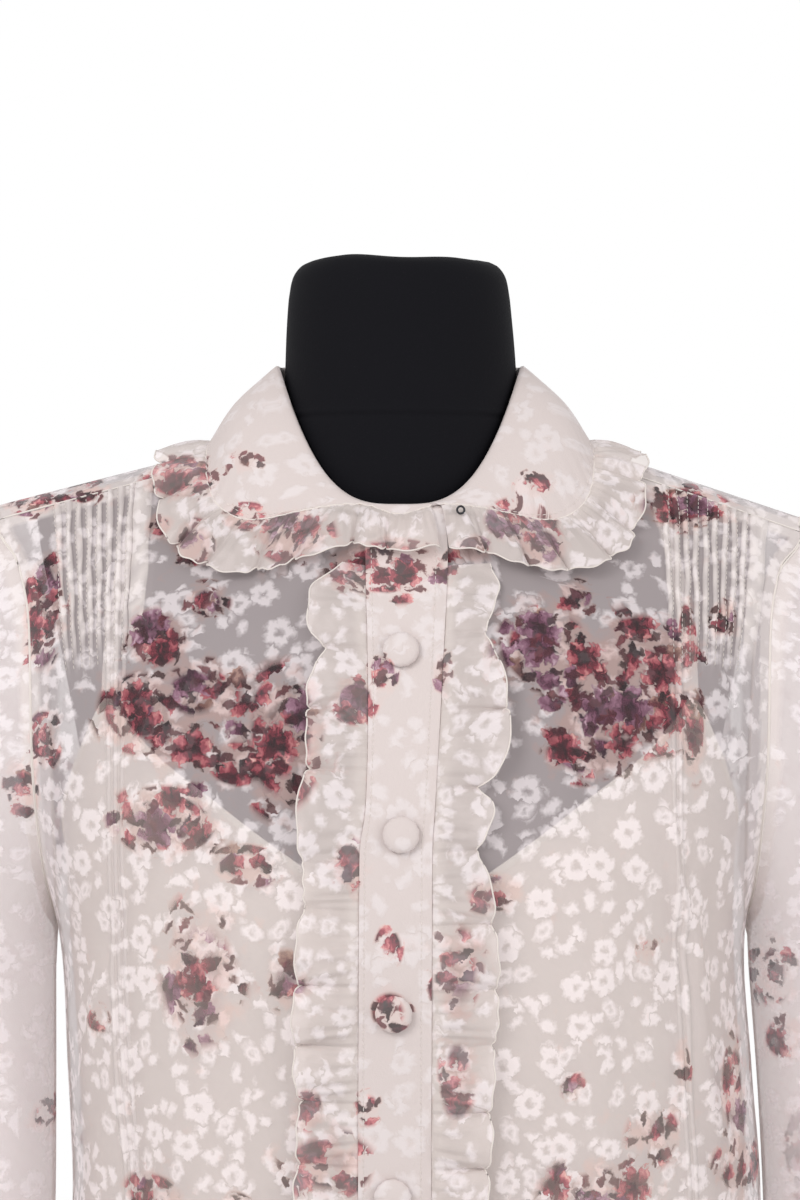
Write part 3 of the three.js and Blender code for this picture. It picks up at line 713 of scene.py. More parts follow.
FINISHES = {}


def math_operator(operation, reflected=False):
    """A method that adds a Math node, with its two values swapped for a reflected form."""

    def method(value, other):
        pair = (other, value) if reflected else (value, other)
        return value.finish.node("ShaderNodeMath", {"operation": operation}, dict(enumerate(pair)))

    return method


class Value:
    """A shader socket that Python's operators add Math nodes to."""

    def __init__(self, finish, socket):
        self.finish = finish
        self.socket = socket

    __add__ = __radd__ = math_operator("ADD")
    __mul__ = __rmul__ = math_operator("MULTIPLY")
    __sub__ = math_operator("SUBTRACT")
    __rsub__ = math_operator("SUBTRACT", reflected=True)
    __truediv__ = math_operator("DIVIDE")
    __rtruediv__ = math_operator("DIVIDE", reflected=True)
    __pow__ = math_operator("POWER")
    __gt__ = math_operator("GREATER_THAN")
    __lt__ = math_operator("LESS_THAN")

    def math(self, operation, *values, clamp=False):
        """A Math node on this value and others."""
        settings = {"operation": operation, "use_clamp": clamp}
        return self.finish.node("ShaderNodeMath", settings, dict(enumerate([self, *values])))

    def __abs__(self):
        return self.math("ABSOLUTE")

    def clip(self):
        """The value kept from 0 to 1."""
        return self.math("ADD", 0.0, clamp=True)

    def other(self, name):
        """Another output of the node that gives this value."""
        return Value(self.finish, self.socket.node.outputs[name])


class Finish:
    """The nodes of a material or of the world."""

    def __init__(self, owner, kind="BSDF_PRINCIPLED"):
        owner.use_nodes = True
        self.owner = owner
        self.tree = owner.node_tree
        self.shader = next(node for node in self.tree.nodes if node.type == kind)

    def node(self, kind, settings=None, inputs=None, output=0):
        """A node with its settings made first and then its inputs, as the value of one output."""
        made = self.tree.nodes.new(kind)
        for key, value in (settings or {}).items():
            if key == "stops":
                self._stops(made.color_ramp, value)
            else:
                setattr(made, key, value)
        for key, value in (inputs or {}).items():
            if isinstance(value, Value):
                self.tree.links.new(value.socket, made.inputs[key])
            else:
                made.inputs[key].default_value = value
        return Value(self, made.outputs[output])

    def _stops(self, ramp, stops):
        while len(ramp.elements) < len(stops):
            ramp.elements.new(0.5)
        for element, (place, colour) in zip(ramp.elements, stops):
            element.position = place
            element.color = (*colour, 1)

    def attribute(self, name, output="Fac"):
        """What a piece's points carry under a name."""
        return self.node("ShaderNodeAttribute", {"attribute_name": name}, output=output)

    def vector(self, operation, first, second=None, scale=None):
        """A Vector Math node."""
        inputs = {0: first}
        if second is not None:
            inputs[1] = second
        if scale is not None:
            inputs["Scale"] = scale
        return self.node("ShaderNodeVectorMath", {"operation": operation}, inputs)

    def mix(self, share, first, second):
        """Two colours mixed by a share."""
        settings = {"data_type": "RGBA"}
        return self.node("ShaderNodeMix", settings, {0: share, 6: first, 7: second}, output=2)

    def ramp(self, value, stops):
        """A colour from a value, between stops."""
        return self.node("ShaderNodeValToRGB", {"stops": stops}, {0: value})

    def noise(self, vector, scale, detail=2.0, rough=0.5, output="Fac", dimensions="2D"):
        """Noise over a vector."""
        inputs = {"Vector": vector, "Scale": scale, "Detail": detail, "Roughness": rough}
        settings = {"noise_dimensions": dimensions}
        return self.node("ShaderNodeTexNoise", settings, inputs, output)

    def cells(self, vector, spacing, loose):
        """Cells of one spacing: the way from the cell's middle, and three random numbers."""
        settings = {"voronoi_dimensions": "2D", "feature": "F1"}
        inputs = {"Vector": vector, "Scale": 1 / spacing, "Randomness": loose}
        middle = self.node("ShaderNodeTexVoronoi", settings, inputs, "Position")
        away = self.parts(self.vector("SUBTRACT", vector, middle))
        chance = self.node("ShaderNodeSeparateColor", inputs={0: middle.other("Color")})
        return away[0], away[1], chance.other("Red"), chance.other("Green"), chance.other("Blue")

    def parts(self, vector):
        """A vector's x and y."""
        split = self.node("ShaderNodeSeparateXYZ", inputs={0: vector})
        return split.other("X"), split.other("Y")

    def turned(self, x, y, share):
        """A place turned by a share of a whole turn."""
        angle = share * TURN
        cosine = angle.math("COSINE")
        sine = angle.math("SINE")
        return x * cosine + y * sine, y * cosine - x * sine

    def bump(self, height, strength, distance):
        """A bump that feeds the shader's normal."""
        inputs = {"Strength": strength, "Distance": distance, "Height": height}
        self.feed("Normal", self.node("ShaderNodeBump", inputs=inputs))

    def feed(self, name, value):
        """A value or a link for one of the shader's own sockets."""
        if isinstance(value, Value):
            self.tree.links.new(value.socket, self.shader.inputs[name])
        else:
            self.shader.inputs[name].default_value = value


def soft(distance, width):
    """A shape's share from its distance inside the edge, soft over a width."""
    return (distance / width + 0.5).clip()


def linear(red, green, blue):
    """A display colour, from 0 to 255, as the shader's linear colour."""
    return tuple(
        (c / 255 / 12.92) if c <= 10 else ((c / 255 + 0.055) / 1.055) ** 2.4
        for c in (red, green, blue)
    )


CREAM = linear(222, 213, 207)
DARK_METAL = (0.05, 0.05, 0.055, 1)


# The cloth's motifs: how far apart they lie, and the random numbers that pick their kind
MOTIF_SPACING = 19.5
DOT_SPACING = 11.5
FLOWERS_BELOW = 0.46
LEAVES_ABOVE = 0.82
DOTS_BELOW = 0.62


def burnt_out_motifs(finish, weave):
    """The cloth's raised motifs: five-petal flowers, leaves and ovals, with smaller ovals between."""
    x, y, spin, kind, size = finish.cells(weave, MOTIF_SPACING, 0.85)
    along, across = finish.turned(x, y, spin)
    away = (along * along + across * across).math("SQRT")
    angle = across.math("ARCTAN2", along)
    radius = 6.6 + 2.0 * size
    petals = radius * (0.7 + 0.3 * abs((angle * 2.5).math("COSINE")) ** 0.6)
    flower = (petals - away).math("MINIMUM", away - radius * 0.25)
    bent = across - along * along * 0.05
    leaf = 2.7 * (1 - (along / 7.6) ** 2) - abs(bent)
    oval_away = ((along * 0.64) ** 2 + across * across).math("SQRT")
    oval = (3.5 - oval_away).math("MINIMUM", oval_away - 0.9)
    is_flower = kind < FLOWERS_BELOW
    is_leaf = kind > LEAVES_ABOVE
    large = flower * is_flower + leaf * is_leaf + oval * (1 - is_flower - is_leaf)
    sparse = finish.noise(weave, 0.03, 1.0)
    large = large - soft(sparse - 0.6, 0.1) * (size < 0.5) * 6

    shifted = finish.vector("ADD", weave, (313.0, 177.0, 0.0))
    x, y, spin, kind, size = finish.cells(shifted, DOT_SPACING, 0.95)
    along, across = finish.turned(x, y, spin)
    dot = 2.1 + 1.0 * size - ((along * 0.62) ** 2 + across * across).math("SQRT")
    clear = soft(-1.6 - large, 0.8) * (kind < DOTS_BELOW)
    return soft(large, 2.4).math("MAXIMUM", soft(dot, 2.0) * clear)


ROSE_STOPS = [
    (0.0, linear(34, 6, 14)),
    (0.24, linear(82, 18, 34)),
    (0.44, linear(142, 50, 66)),
    (0.64, linear(196, 110, 116)),
    (0.84, linear(226, 170, 162)),
    (1.0, linear(236, 204, 196)),
]
MAUVE_STOPS = [
    (0.0, linear(52, 18, 36)),
    (0.3, linear(98, 48, 72)),
    (0.6, linear(150, 104, 126)),
    (0.85, linear(202, 170, 182)),
    (1.0, linear(228, 208, 212)),
]
TAN_STOPS = [
    (0.0, linear(66, 28, 32)),
    (0.35, linear(118, 76, 70)),
    (0.7, linear(176, 138, 124)),
    (1.0, linear(216, 190, 176)),
]
WASH = linear(230, 186, 176)
SHEER_WASH = 0.6
DOUBLED_WASH = 0.2

# The print: how far apart its petals, blossoms and strokes lie, and the shares of rarer colours
PETAL_SPACING = 14.0
BLOSSOM_SPACING = 23.0
STROKE_SPACING = 9.5
MAUVE_PETALS = 0.2
TAN_ABOVE = 0.86
MAUVE_ABOVE = 0.72


def petal_shape(along, across, long, wide):
    """How far inside a petal a place lies: narrow at its stem and round at its tip."""
    share = along / long
    body = (1 - share * share).math("MAXIMUM", 0.0).math("SQRT")
    return wide * body * (1 + share * 0.4) - abs(across)


def printed_blossoms(finish, weave, bloom, wash_share):
    """The watercolour print: a pale wash, loose petals, open blossoms and dark strokes."""
    brush = finish.noise(weave, 0.3, 3.0, 0.55)
    streak = finish.noise(finish.vector("MULTIPLY", weave, (0.9, 0.25, 1.0)), 0.6, 1.0)
    blot = finish.noise(weave, 0.085, 2.0, 0.55)
    shade = (streak - 0.5) * 0.45 + (brush - 0.5) * 0.7

    wash = soft(bloom - 0.5 + (blot - 0.5) * 1.4, 0.45) * wash_share
    colour = (*WASH, 1)

    shifted = finish.vector("ADD", weave, (57.0, 401.0, 0.0))
    x, y, spin, chance, tint = finish.cells(shifted, PETAL_SPACING, 0.9)
    along, across = finish.turned(x, y, spin)
    loose = petal_shape(along, across + along * along * 0.03, 6.8 + 2.6 * tint, 3.9 + (brush - 0.5) * 4)
    tone = 0.24 + along * 0.058 + shade
    rose, tan, mauve = (finish.ramp(tone, stops) for stops in (ROSE_STOPS, TAN_STOPS, MAUVE_STOPS))
    own = finish.mix(tint > TAN_ABOVE, finish.mix(tint < MAUVE_PETALS, rose, mauve), tan)
    petals = soft(loose, 1.5) * soft(bloom - 0.1 - 0.8 * chance, 0.12)
    colour = finish.mix(petals, colour, own)

    x, y, spin, chance, tint = finish.cells(weave, BLOSSOM_SPACING, 0.85)
    along, across = finish.turned(x, y, spin)
    away = (along * along + across * across).math("SQRT")
    lobe = abs((across.math("ARCTAN2", along) * 2.5).math("COSINE"))
    reach = (9.4 + 3.4 * tint) * (0.52 + 0.48 * lobe**0.6) + (brush - 0.5) * 10
    part = away / reach
    tone = part * lobe**0.5 * 0.8 + shade * 1.25 - (part - 0.82).math("MAXIMUM", 0.0) * 1.4
    own = finish.mix(tint > MAUVE_ABOVE, finish.ramp(tone, ROSE_STOPS), finish.ramp(tone, MAUVE_STOPS))
    blossom = soft(reach - away, 1.9) * soft(bloom - 0.2 - 0.62 * chance, 0.16)
    colour = finish.mix(blossom, colour, own)

    shifted = finish.vector("ADD", weave, (211.0, 93.0, 0.0))
    x, y, spin, chance, tint = finish.cells(shifted, STROKE_SPACING, 0.95)
    along, across = finish.turned(x, y, spin)
    stroke = petal_shape(along, across, 3.6 + 2.6 * tint, 1.9 + (brush - 0.5) * 3)
    dark = soft(stroke, 1.1) * soft(bloom - 0.16 - 0.76 * chance, 0.1)
    shadow = finish.ramp(tint * 0.28 + shade * 0.3, ROSE_STOPS)
    colour = finish.mix(dark * 0.92, colour, shadow)
    share = petals.math("MAXIMUM", blossom).math("MAXIMUM", dark)
    return wash.math("MAXIMUM", share), colour


def chiffon(name, ground, motif_colour, ground_cover, motif_cover, print_strength):
    """Printed burn-out cloth: a sheer ground, denser motifs and printed blossoms."""
    finish = Finish(bpy.data.materials.new(name))
    place = finish.attribute("weave", "Vector")
    drift = finish.noise(place, 0.26, 2.0, output="Color")
    drift = finish.vector("SUBTRACT", drift, (0.5, 0.5, 0.5))
    weave = finish.vector("ADD", place, finish.vector("SCALE", drift, scale=5.0))
    bloom = finish.attribute("bloom")
    dense = finish.attribute("dense")
    motif = burnt_out_motifs(finish, weave)
    wash_share = SHEER_WASH if ground_cover < 1 else DOUBLED_WASH
    share, print_colour = printed_blossoms(finish, weave, bloom, wash_share)
    colour = finish.mix(motif, (*ground, 1), (*motif_colour, 1))
    colour = finish.mix(dense * 0.7, colour, (*CREAM, 1))
    colour = finish.mix(share * print_strength, colour, print_colour)
    finish.feed("Base Color", colour)
    cover = ground_cover + motif * (motif_cover - ground_cover)
    cover = cover.math("MAXIMUM", share * (0.7 + motif * 0.16))
    if ground_cover < 1:
        finish.feed("Alpha", 1 - (1 - cover) * (1 - dense))
    crepe = finish.noise(place, 1.3, 2.0)
    finish.bump(motif * 0.55 + crepe * 0.3, 0.5, 0.0006)
    finish.feed("Roughness", 0.72 - motif * 0.18)
    for socket, value in (("Specular IOR Level", 0.3), ("Sheen Weight", 0.12), ("Sheen Roughness", 0.4)):
        finish.feed(socket, value)
    return finish.owner


def plain_cloth(name, colour, roughness, specular=0.3, sheen=0.0, grain=0.0, grain_size=0.8):
    """A plain cloth with a fine grain."""
    finish = Finish(bpy.data.materials.new(name))
    finish.feed("Base Color", (*colour, 1))
    finish.feed("Roughness", roughness)
    finish.feed("Specular IOR Level", specular)
    finish.feed("Sheen Weight", sheen)
    if grain:
        place = finish.node("ShaderNodeTexCoord", output="Object")
        speck = finish.noise(place, 1 / (grain_size * MM), 2.0, dimensions="3D")
        finish.bump(speck, grain, 0.0004)
    return finish.owner


# Settings


class ClothSettings(bpy.types.PropertyGroup):
    """Colours of the blouse and its lining."""

    ground: bpy.props.FloatVectorProperty(
        name="Ground", description="Colour of the sheer ground",
        subtype="COLOR", default=linear(204, 192, 193),
    )
    # Painted light: a lighter, pinker copy of the same sheer ground, used only on the sleeves, stands
    # for the light that comes through the empty sleeves from behind
    sleeve: bpy.props.FloatVectorProperty(
        name="Sleeve ground", description="Colour of the sheer ground of the empty sleeves",
        subtype="COLOR", default=linear(222, 207, 206),
    )
    motif: bpy.props.FloatVectorProperty(
        name="Motif", description="Colour of the raised motifs",
        subtype="COLOR", default=linear(244, 233, 235),
    )
    frill: bpy.props.FloatVectorProperty(
        name="Frill ground", description="Colour of the sheer ground where it is gathered",
        subtype="COLOR", default=linear(216, 203, 199),
    )
    doubled: bpy.props.FloatVectorProperty(
        name="Doubled ground", description="Colour of two layers of the sheer ground",
        subtype="COLOR", default=linear(208, 196, 193),
    )
    doubled_motif: bpy.props.FloatVectorProperty(
        name="Doubled motif", description="Colour of the raised motifs on two layers",
        subtype="COLOR", default=linear(217, 207, 206),
    )
    ground_cover: bpy.props.FloatProperty(
        name="Ground cover", description="How much the sheer ground hides of what lies behind it",
        default=0.52, min=0, max=1,
    )
    motif_cover: bpy.props.FloatProperty(
        name="Motif cover", description="How much a motif hides of what lies behind it",
        default=0.66, min=0, max=1,
    )
    # Partly the satin's own ivory and partly painted light: brightened to stand for the light that the
    # sheer cloth lets through onto the lining
    satin: bpy.props.FloatVectorProperty(
        name="Lining", description="Colour of the lining's satin", subtype="COLOR",
        default=linear(248, 240, 230),
    )
    binding: bpy.props.FloatVectorProperty(
        name="Binding", description="Colour of the lining's bound edges", subtype="COLOR",
        default=linear(255, 250, 238),
    )
    jersey: bpy.props.FloatVectorProperty(
        name="Form", description="Colour of the form's jersey cover", subtype="COLOR",
        default=(0.0034, 0.0032, 0.0052),
    )


class FrillSettings(bpy.types.PropertyGroup):
    """Sizes of the frills."""

    fullness: bpy.props.FloatProperty(
        name="Fullness", description="How full the frills' folds are", default=1.0, min=0, max=1.5,
    )
    edge: bpy.props.FloatProperty(
        name="Rolled edge", description="Radius of the rolled edge", unit="LENGTH",
        default=0.42 * MM,
    )


class StageSettings(bpy.types.PropertyGroup):
    """Camera and light."""

    distance: bpy.props.FloatProperty(
        name="Distance", description="From the camera to the chest", unit="LENGTH", default=2.15,
    )
    height: bpy.props.FloatProperty(
        name="Height", description="Height of the level camera", unit="LENGTH", default=0.62,
    )
    frame_height: bpy.props.FloatProperty(
        name="Frame", description="Height that the picture takes in", unit="LENGTH", default=0.6,
    )
    light: bpy.props.FloatProperty(
        name="Light", description="Power of the main light", unit="POWER", default=33,
    )
    surround: bpy.props.FloatProperty(
        name="Surround", description="Strength of the light from all round", default=0.72, min=0, max=1,
    )


# The fronts and the back

# Pin tucks of each front: count, first, last, the broad fold's edges, how many run down to the hem
TUCKS = {"right": (8, 137, 170, 127.4, 135.2, 3), "left": (9, 135, 172, 174.8, 182.4, 2)}
TUCK_SPREAD = {"z": 615, "rate": 0.12, "least": -10, "most": 6}
TUCK_END = (575, 603)
FRONT_EDGE = {"right": 15.9, "left": -15.5}
ROW_STEP = 4
FRONT_FAN = 62
BACK_FAN = 52
INSIDE = 26
OUTSIDE = 9
TUCK_PITCH = 4.65
TUCK_STITCH_OFF = 0.2

# How much more the creases that stand out and those that sink in are worth
FRONT_DEPTH = (2.2, 1.2)
BACK_DEPTH = (2.6, 1.1)

# Creases of the fronts: x, z, half length, lean in degrees, half width, depth
CREASES_FRONT = [
    (-64, 560, 52, 12, 7, -1.3),
    (-88, 505, 60, 24, 9, 1.4),
    (-42, 520, 46, -6, 6, -1.1),
    (-132, 470, 44, 38, 8, -1.4),
    (-104, 396, 70, 6, 9, 1.6),
    (-62, 404, 54, -4, 7, -1.3),
    (-146, 352, 64, 10, 8, 1.3),
    (-90, 250, 88, 3, 10, 1.5),
    (-44, 240, 70, -3, 8, -1.2),
    (-128, 170, 66, 8, 9, -1.4),
    (-70, 120, 52, 2, 9, 1.2),
    (52, 566, 48, -8, 6, -1.1),
    (84, 512, 58, -22, 9, 1.3),
    (118, 474, 50, -34, 8, -1.4),
    (62, 430, 44, 7, 7, -1.2),
    (96, 380, 74, -5, 9, 1.6),
    (134, 330, 60, -9, 8, -1.3),
    (50, 300, 66, 4, 8, 1.2),
    (88, 228, 80, -3, 10, -1.4),
    (128, 178, 66, -8, 9, 1.4),
    (56, 130, 56, 3, 8, -1.2),
    (158, 600, 34, -4, 5, 0.8),
    (-30, 600, 30, 10, 5, -0.8),
    (36, 612, 26, -12, 5, 0.8),
    (-154, 392, 58, 12, 5, 2.0),
    (148, 404, 70, -8, 5, 2.2),
    (138, 470, 48, -12, 4, 1.6),
]
CREASES_BACK = [
    (-70, 610, 60, 26, 10, 1.6),
    (-110, 560, 54, 34, 9, -1.6),
    (-20, 560, 70, 3, 10, 1.4),
    (34, 585, 56, -7, 8, -1.3),
    (82, 604, 62, -24, 10, 1.7),
    (120, 548, 50, -36, 9, -1.5),
    (-140, 470, 52, 30, 9, 1.6),
    (-60, 440, 80, 6, 10, -1.6),
    (10, 420, 76, -2, 9, 1.4),
    (70, 452, 84, -6, 10, -1.5),
    (142, 462, 50, -28, 9, 1.5),
    (-108, 320, 90, 5, 11, 1.7),
    (-34, 290, 84, 2, 9, -1.4),
    (40, 300, 90, -4, 10, 1.6),
    (106, 300, 80, -5, 10, -1.6),
    (-84, 170, 80, 3, 11, -1.6),
    (-8, 150, 70, 0, 10, 1.4),
    (66, 160, 76, -3, 10, 1.6),
    (138, 170, 66, -6, 9, -1.3),
]


def creases_at(x, z, creases):
    """How far the creases move the cloth out."""
    deep = np.zeros(np.shape(x))
    for middle, height, long, lean, wide, depth in creases:
        angle = math.radians(lean)
        along = (z - height) * math.cos(angle) + (x - middle) * math.sin(angle)
        across = (x - middle) * math.cos(angle) - (z - height) * math.sin(angle)
        across = across + 0.0016 * along**2 * (1 if lean >= 0 else -1)
        deep += depth * np.exp(-((across / wide) ** 2) - (along / long) ** 4)
    return deep


def crease_lift(points, creases, calm, out, inward):
    """How far creases lift a grid, with those that stand out and those that sink in scaled apart."""
    crease = creases_at(points[..., 0], points[..., 2], creases) * calm
    return np.where(crease > 0, crease * out, crease * inward)


def angle_of(q, half):
    """The across-section angle of a distance from the middle."""
    return np.arcsin(np.clip(q / half, 0, 1) ** (PLUMP / 2))


def reach_of(angle, half):
    """The distance from the middle at an across-section angle."""
    return half * np.maximum(np.sin(angle), 0) ** (2 / PLUMP)


def tuck_profile(name):
    """Columns of the tucks: distance out, height, whether it runs to the hem, and its layers."""
    count, first, last, broad_from, broad_to, running = TUCKS[name]
    pitch = (last - first) / (count - 1)
    columns = []
    broad = [
        (broad_from - 0.4, 0.0, 0, 0.2),
        (broad_from, 0.9, 0, 1),
        (lerp(broad_from, broad_to, 0.35), 1.0, 0, 1),
        (lerp(broad_from, broad_to, 0.7), 0.9, 0, 1),
        (broad_to, 0.8, 0, 1),
        (broad_to + 0.4, 0.0, 0, 0.2),
    ]
    if broad_from < first:
        columns += broad
    for k in range(count):
        at = first + k * pitch
        runs = 1 if k < running else 0
        columns += [
            (at - 1.35, 0.0, runs, 0.0),
            (at - 1.15, 0.85, runs, 0.9),
            (at - 0.1, 1.35, runs, 1),
            (at + 0.95, 1.25, runs, 1),
            (at + 1.2, 0.0, runs, 0.3),
        ]
    if broad_from > last:
        columns += broad
    return np.array(columns)


def front_rows(name):
    """Rows of a front: height, inner end, outer end and, in the shoulder's fan, its start and share."""
    side = SIDES[name]
    edge = FRONT_EDGE[name]
    rows = []
    for z in np.arange(HEM, CHEST, ROW_STEP):
        end = BLOUSE.half(z) if z <= UNDERARM else armhole_x(z)
        lean = float(BLOUSE.lean(z))
        rows.append((float(z), edge - side * lean, float(end), None))
    tip = float(BLOUSE.ridge(side * TIP_X)) - SEAM_DROP
    neck_top = float(BLOUSE.ridge(side * NECK_SIDE_X)) - SEAM_DROP
    for v in np.arange(FRONT_FAN + 1) / FRONT_FAN:
        inner = (edge, lerp(CHEST, NECK_PIT, v * 2))
        if v > 0.5:
            turn = (v * 2 - 1) * QUARTER
            inner = (
                NECK_SIDE_X * math.sin(turn),
                neck_top - (neck_top - NECK_PIT) * math.cos(turn),
            )
            inner = (max(inner[0], lerp(edge, NECK_SIDE_X, (v * 2 - 1) ** 3)), inner[1])
        outer_z = lerp(CHEST, tip, v)
        outer_x = lerp(float(armhole_x(outer_z)), TIP_X, smoothstep(v, 0.85, 1))
        rows.append((outer_z, inner[0], float(outer_x), (inner, v)))
    return rows


def front_grid(name):
    """A front's points, and the layers of cloth at each."""
    side = SIDES[name]
    profile = tuck_profile(name)
    first, last = TUCKS[name][1:3]
    number = np.round(profile[:, 0] / TUCK_PITCH)
    inside, outside = np.zeros(INSIDE), np.zeros(OUTSIDE)
    grid, rise, layers = [], [], []
    for z, start, end, fan in front_rows(name):
        spread = np.clip(
            (z - TUCK_SPREAD["z"]) * TUCK_SPREAD["rate"], TUCK_SPREAD["least"], TUCK_SPREAD["most"]
        ) / (last - first)
        q = profile[:, 0] + spread * (profile[:, 0] - first)
        sewn = smoothstep(z, *TUCK_END)
        held = np.maximum(sewn, 0.45 * profile[:, 2])
        sway = np.sin(z / 7.1 + 2.3 * number) + 0.6 * np.sin(z / 3.3 + 1.1 * number)
        q = q + 0.32 * sway * sewn
        lumps = 0.84 + 0.16 * np.sin(z / 1.9 + 1.9 * number + np.sin(z / 5.3))
        half = float(BLOUSE.half(z))
        inner = lerp(start, q[0], np.arange(INSIDE) / INSIDE)
        steps = np.arange(1, OUTSIDE + 1) / OUTSIDE
        outer = reach_of(lerp(angle_of(q[-1], half), angle_of(end, half), steps), half)
        x = float(BLOUSE.lean(z)) + side * np.concatenate([inner, q, outer])
        height = np.full_like(x, z)
        if fan:
            (inner_x, inner_z), v = fan
            t = (side * x - inner_x) / (end - inner_x)
            inner_fall = BLOUSE.ridge(side * inner_x) - inner_z
            outer_fall = BLOUSE.ridge(side * end) - z
            parallel = BLOUSE.ridge(x) - lerp(inner_fall, outer_fall, t)
            height = lerp(lerp(inner_z, z, t), parallel, v)
        roll = BLOUSE.roll(x, height)
        point = BLOUSE.point(x, roll)
        if z <= UNDERARM:
            point[-1, 1] = 0
        point[:, 1] -= SEAM_SHIFT
        grid.append(point)
        rise.append(np.concatenate([inside, profile[:, 1] * held, outside]))
        layers.append(np.concatenate([inside, profile[:, 3] * held * lumps, outside]))
    grid, rise, layers = np.array(grid), np.array(rise), np.array(layers)
    if side < 0:
        grid, rise, layers = grid[:, ::-1], rise[:, ::-1], layers[:, ::-1]
    away = np.abs(grid[..., 0])
    calm = smoothstep(away, 22, 40) * (1 - smoothstep(away, 150, 172))
    lift = rise + crease_lift(grid, CREASES_FRONT, calm, *FRONT_DEPTH)
    return grid + grid_normals(grid) * lift[..., None], layers


def tuck_stitch_paths(name, points):
    """A line of stitches along each tuck, from where it ends up to the shoulder."""
    count, first, _, broad_from = TUCKS[name][:4]
    start = INSIDE + (6 if broad_from < first else 0)
    columns = start + np.arange(count) * 5 + 3
    if SIDES[name] < 0:
        columns = points.shape[1] - 1 - columns
    rows = points[:, columns[0], 2] > sum(TUCK_END) / 2
    face = points + grid_normals(points) * TUCK_STITCH_OFF
    return [face[rows, column] for column in columns]


BACK_LOW = [0, 0.1, 0.19, 0.27, 0.34, 0.4, 0.46, 0.53, 0.62, 0.7, 0.775, 0.845, 0.905, 0.955, 0.988, 1]
BACK_TOP = [
    0, 0.11, 0.209, 0.277, 0.308, 0.328, 0.3405, 0.3495,
    0.45, 0.56, 0.67, 0.775, 0.86, 0.93, 0.975, 1,
]
SEAM_ROLL = math.acos(1 - (SEAM_DROP - 0.5) / ROUNDING)
ARMHOLE_TOP = 668


def back_fan_row(low, top, v):
    """A row of the back's shoulder part, from the chest (v = 0) to the seam past the ridge (v = 1)."""
    reach = np.abs(top)
    x = lerp(low, top, v) * lerp(float(armhole_x(CHEST)), TIP_X, v * v)
    end = np.where(
        reach * TIP_X < NECK_SIDE_X, np.radians(back_neck_roll(reach * TIP_X)), SEAM_ROLL
    )
    roll = np.zeros_like(x)
    for _ in range(6):
        roll = lerp(-BLOUSE.roll(x, CHEST), end, v)
        across = armhole_x(np.minimum(BLOUSE.height(x, roll), ARMHOLE_TOP))
        across = lerp(across, TIP_X, smoothstep(v, 0.9, 1))
        x = np.where(reach > 0.9999, np.sign(top) * across, x)
    return BLOUSE.point(x, roll)


def back_grid():
    """The back's points, from the wearer's left to the right."""
    steps = np.linspace(0, len(BACK_LOW) - 1, 46)
    low = np.interp(steps, range(len(BACK_LOW)), BACK_LOW)
    top = np.interp(steps, range(len(BACK_TOP)), BACK_TOP)
    low = np.concatenate([-low[:0:-1], low])
    top = np.concatenate([-top[:0:-1], top])
    rows = []
    for z in np.arange(HEM, CHEST, ROW_STEP):
        half = float(BLOUSE.half(z)) if z <= UNDERARM else float(armhole_x(z))
        x = float(BLOUSE.lean(z)) + low * half
        point = BLOUSE.point(x, -BLOUSE.roll(x, z))
        if z <= UNDERARM:
            point[[0, -1], 1] = 0
        rows.append(point)
    for v in np.arange(BACK_FAN + 1) / BACK_FAN:
        rows.append(back_fan_row(low, top, v))
    grid = np.array(rows)[:, ::-1]
    grid[..., 1] += SEAM_SHIFT
    calm = 1 - smoothstep(np.abs(grid[..., 0]), 150, 175)
    calm = calm * (1 - smoothstep(grid[..., 2], 640, 690)) * (grid[..., 1] > 0)
    lift = crease_lift(grid, CREASES_BACK, calm, *BACK_DEPTH)
    return grid + grid_normals(grid) * lift[..., None]


SEAM_WIDTH = 7


def seam_layers(points, sides):
    """Extra layers of cloth along a grid's chosen edges: first, last, low and top."""
    across = arc(points, 1)
    along = arc(points, 0)
    gaps = {
        "first": across,
        "last": across[:, -1:] - across,
        "low": along,
        "top": along[-1:] - along,
    }
    layers = np.zeros(points.shape[:2])
    for side, share in sides.items():
        layers = np.maximum(layers, share * (gaps[side] < SEAM_WIDTH))
    return layers


# How the flat cloth is found: lines of the coarse grid, rounds, and the share of each correction
COARSE_LINES = 40
EVEN_ROUNDS = 900
EVEN_SHARE = 0.28


def flattened(points, across, up):
    """A grid's places on the flat cloth, from a first guess whose lengths are then evened out."""
    rows, columns = (
        np.unique(np.linspace(0, lines - 1, COARSE_LINES).astype(int)) for lines in points.shape[:2]
    )
    coarse = points[np.ix_(rows, columns)]
    flat = np.stack([across, up], axis=-1)[np.ix_(rows, columns)].astype(float)
    whole = slice(None)
    back, ahead = slice(None, -1), slice(1, None)
    pairs = [
        ((whole, back), (whole, ahead)),
        ((back, whole), (ahead, whole)),
        ((back, back), (ahead, ahead)),
        ((back, ahead), (ahead, back)),
    ]
    lengths = [np.linalg.norm(coarse[a] - coarse[b], axis=-1) for a, b in pairs]
    for _ in range(EVEN_ROUNDS):
        move = np.zeros_like(flat)
        for (a, b), length in zip(pairs, lengths):
            gap = flat[b] - flat[a]
            now = np.maximum(np.linalg.norm(gap, axis=-1), 1e-6)
            step = gap * ((1 - length / now) / 2)[..., None]
            move[a] += step
            move[b] -= step
        flat += move * EVEN_SHARE
    at_row = np.interp(np.arange(points.shape[0]), rows, np.arange(len(rows)))
    along = arc(points, 1).mean(axis=0)
    at_column = np.interp(along, along[columns], np.arange(len(columns)))
    low = np.minimum(at_column.astype(int), len(columns) - 2)
    tall = blend_rows(flat, at_row)
    return lerp(tall[:, low], tall[:, low + 1], (at_column - low)[None, :, None])


def flat_place(points, start):
    """Where a grid's points lie on the flat cloth, in millimetres."""
    across = arc(points, 1)
    across = across - across[:, start : start + 1] + points[:, start : start + 1, 0]
    return flattened(points, across, arc(points, 0)).reshape(-1, 2)


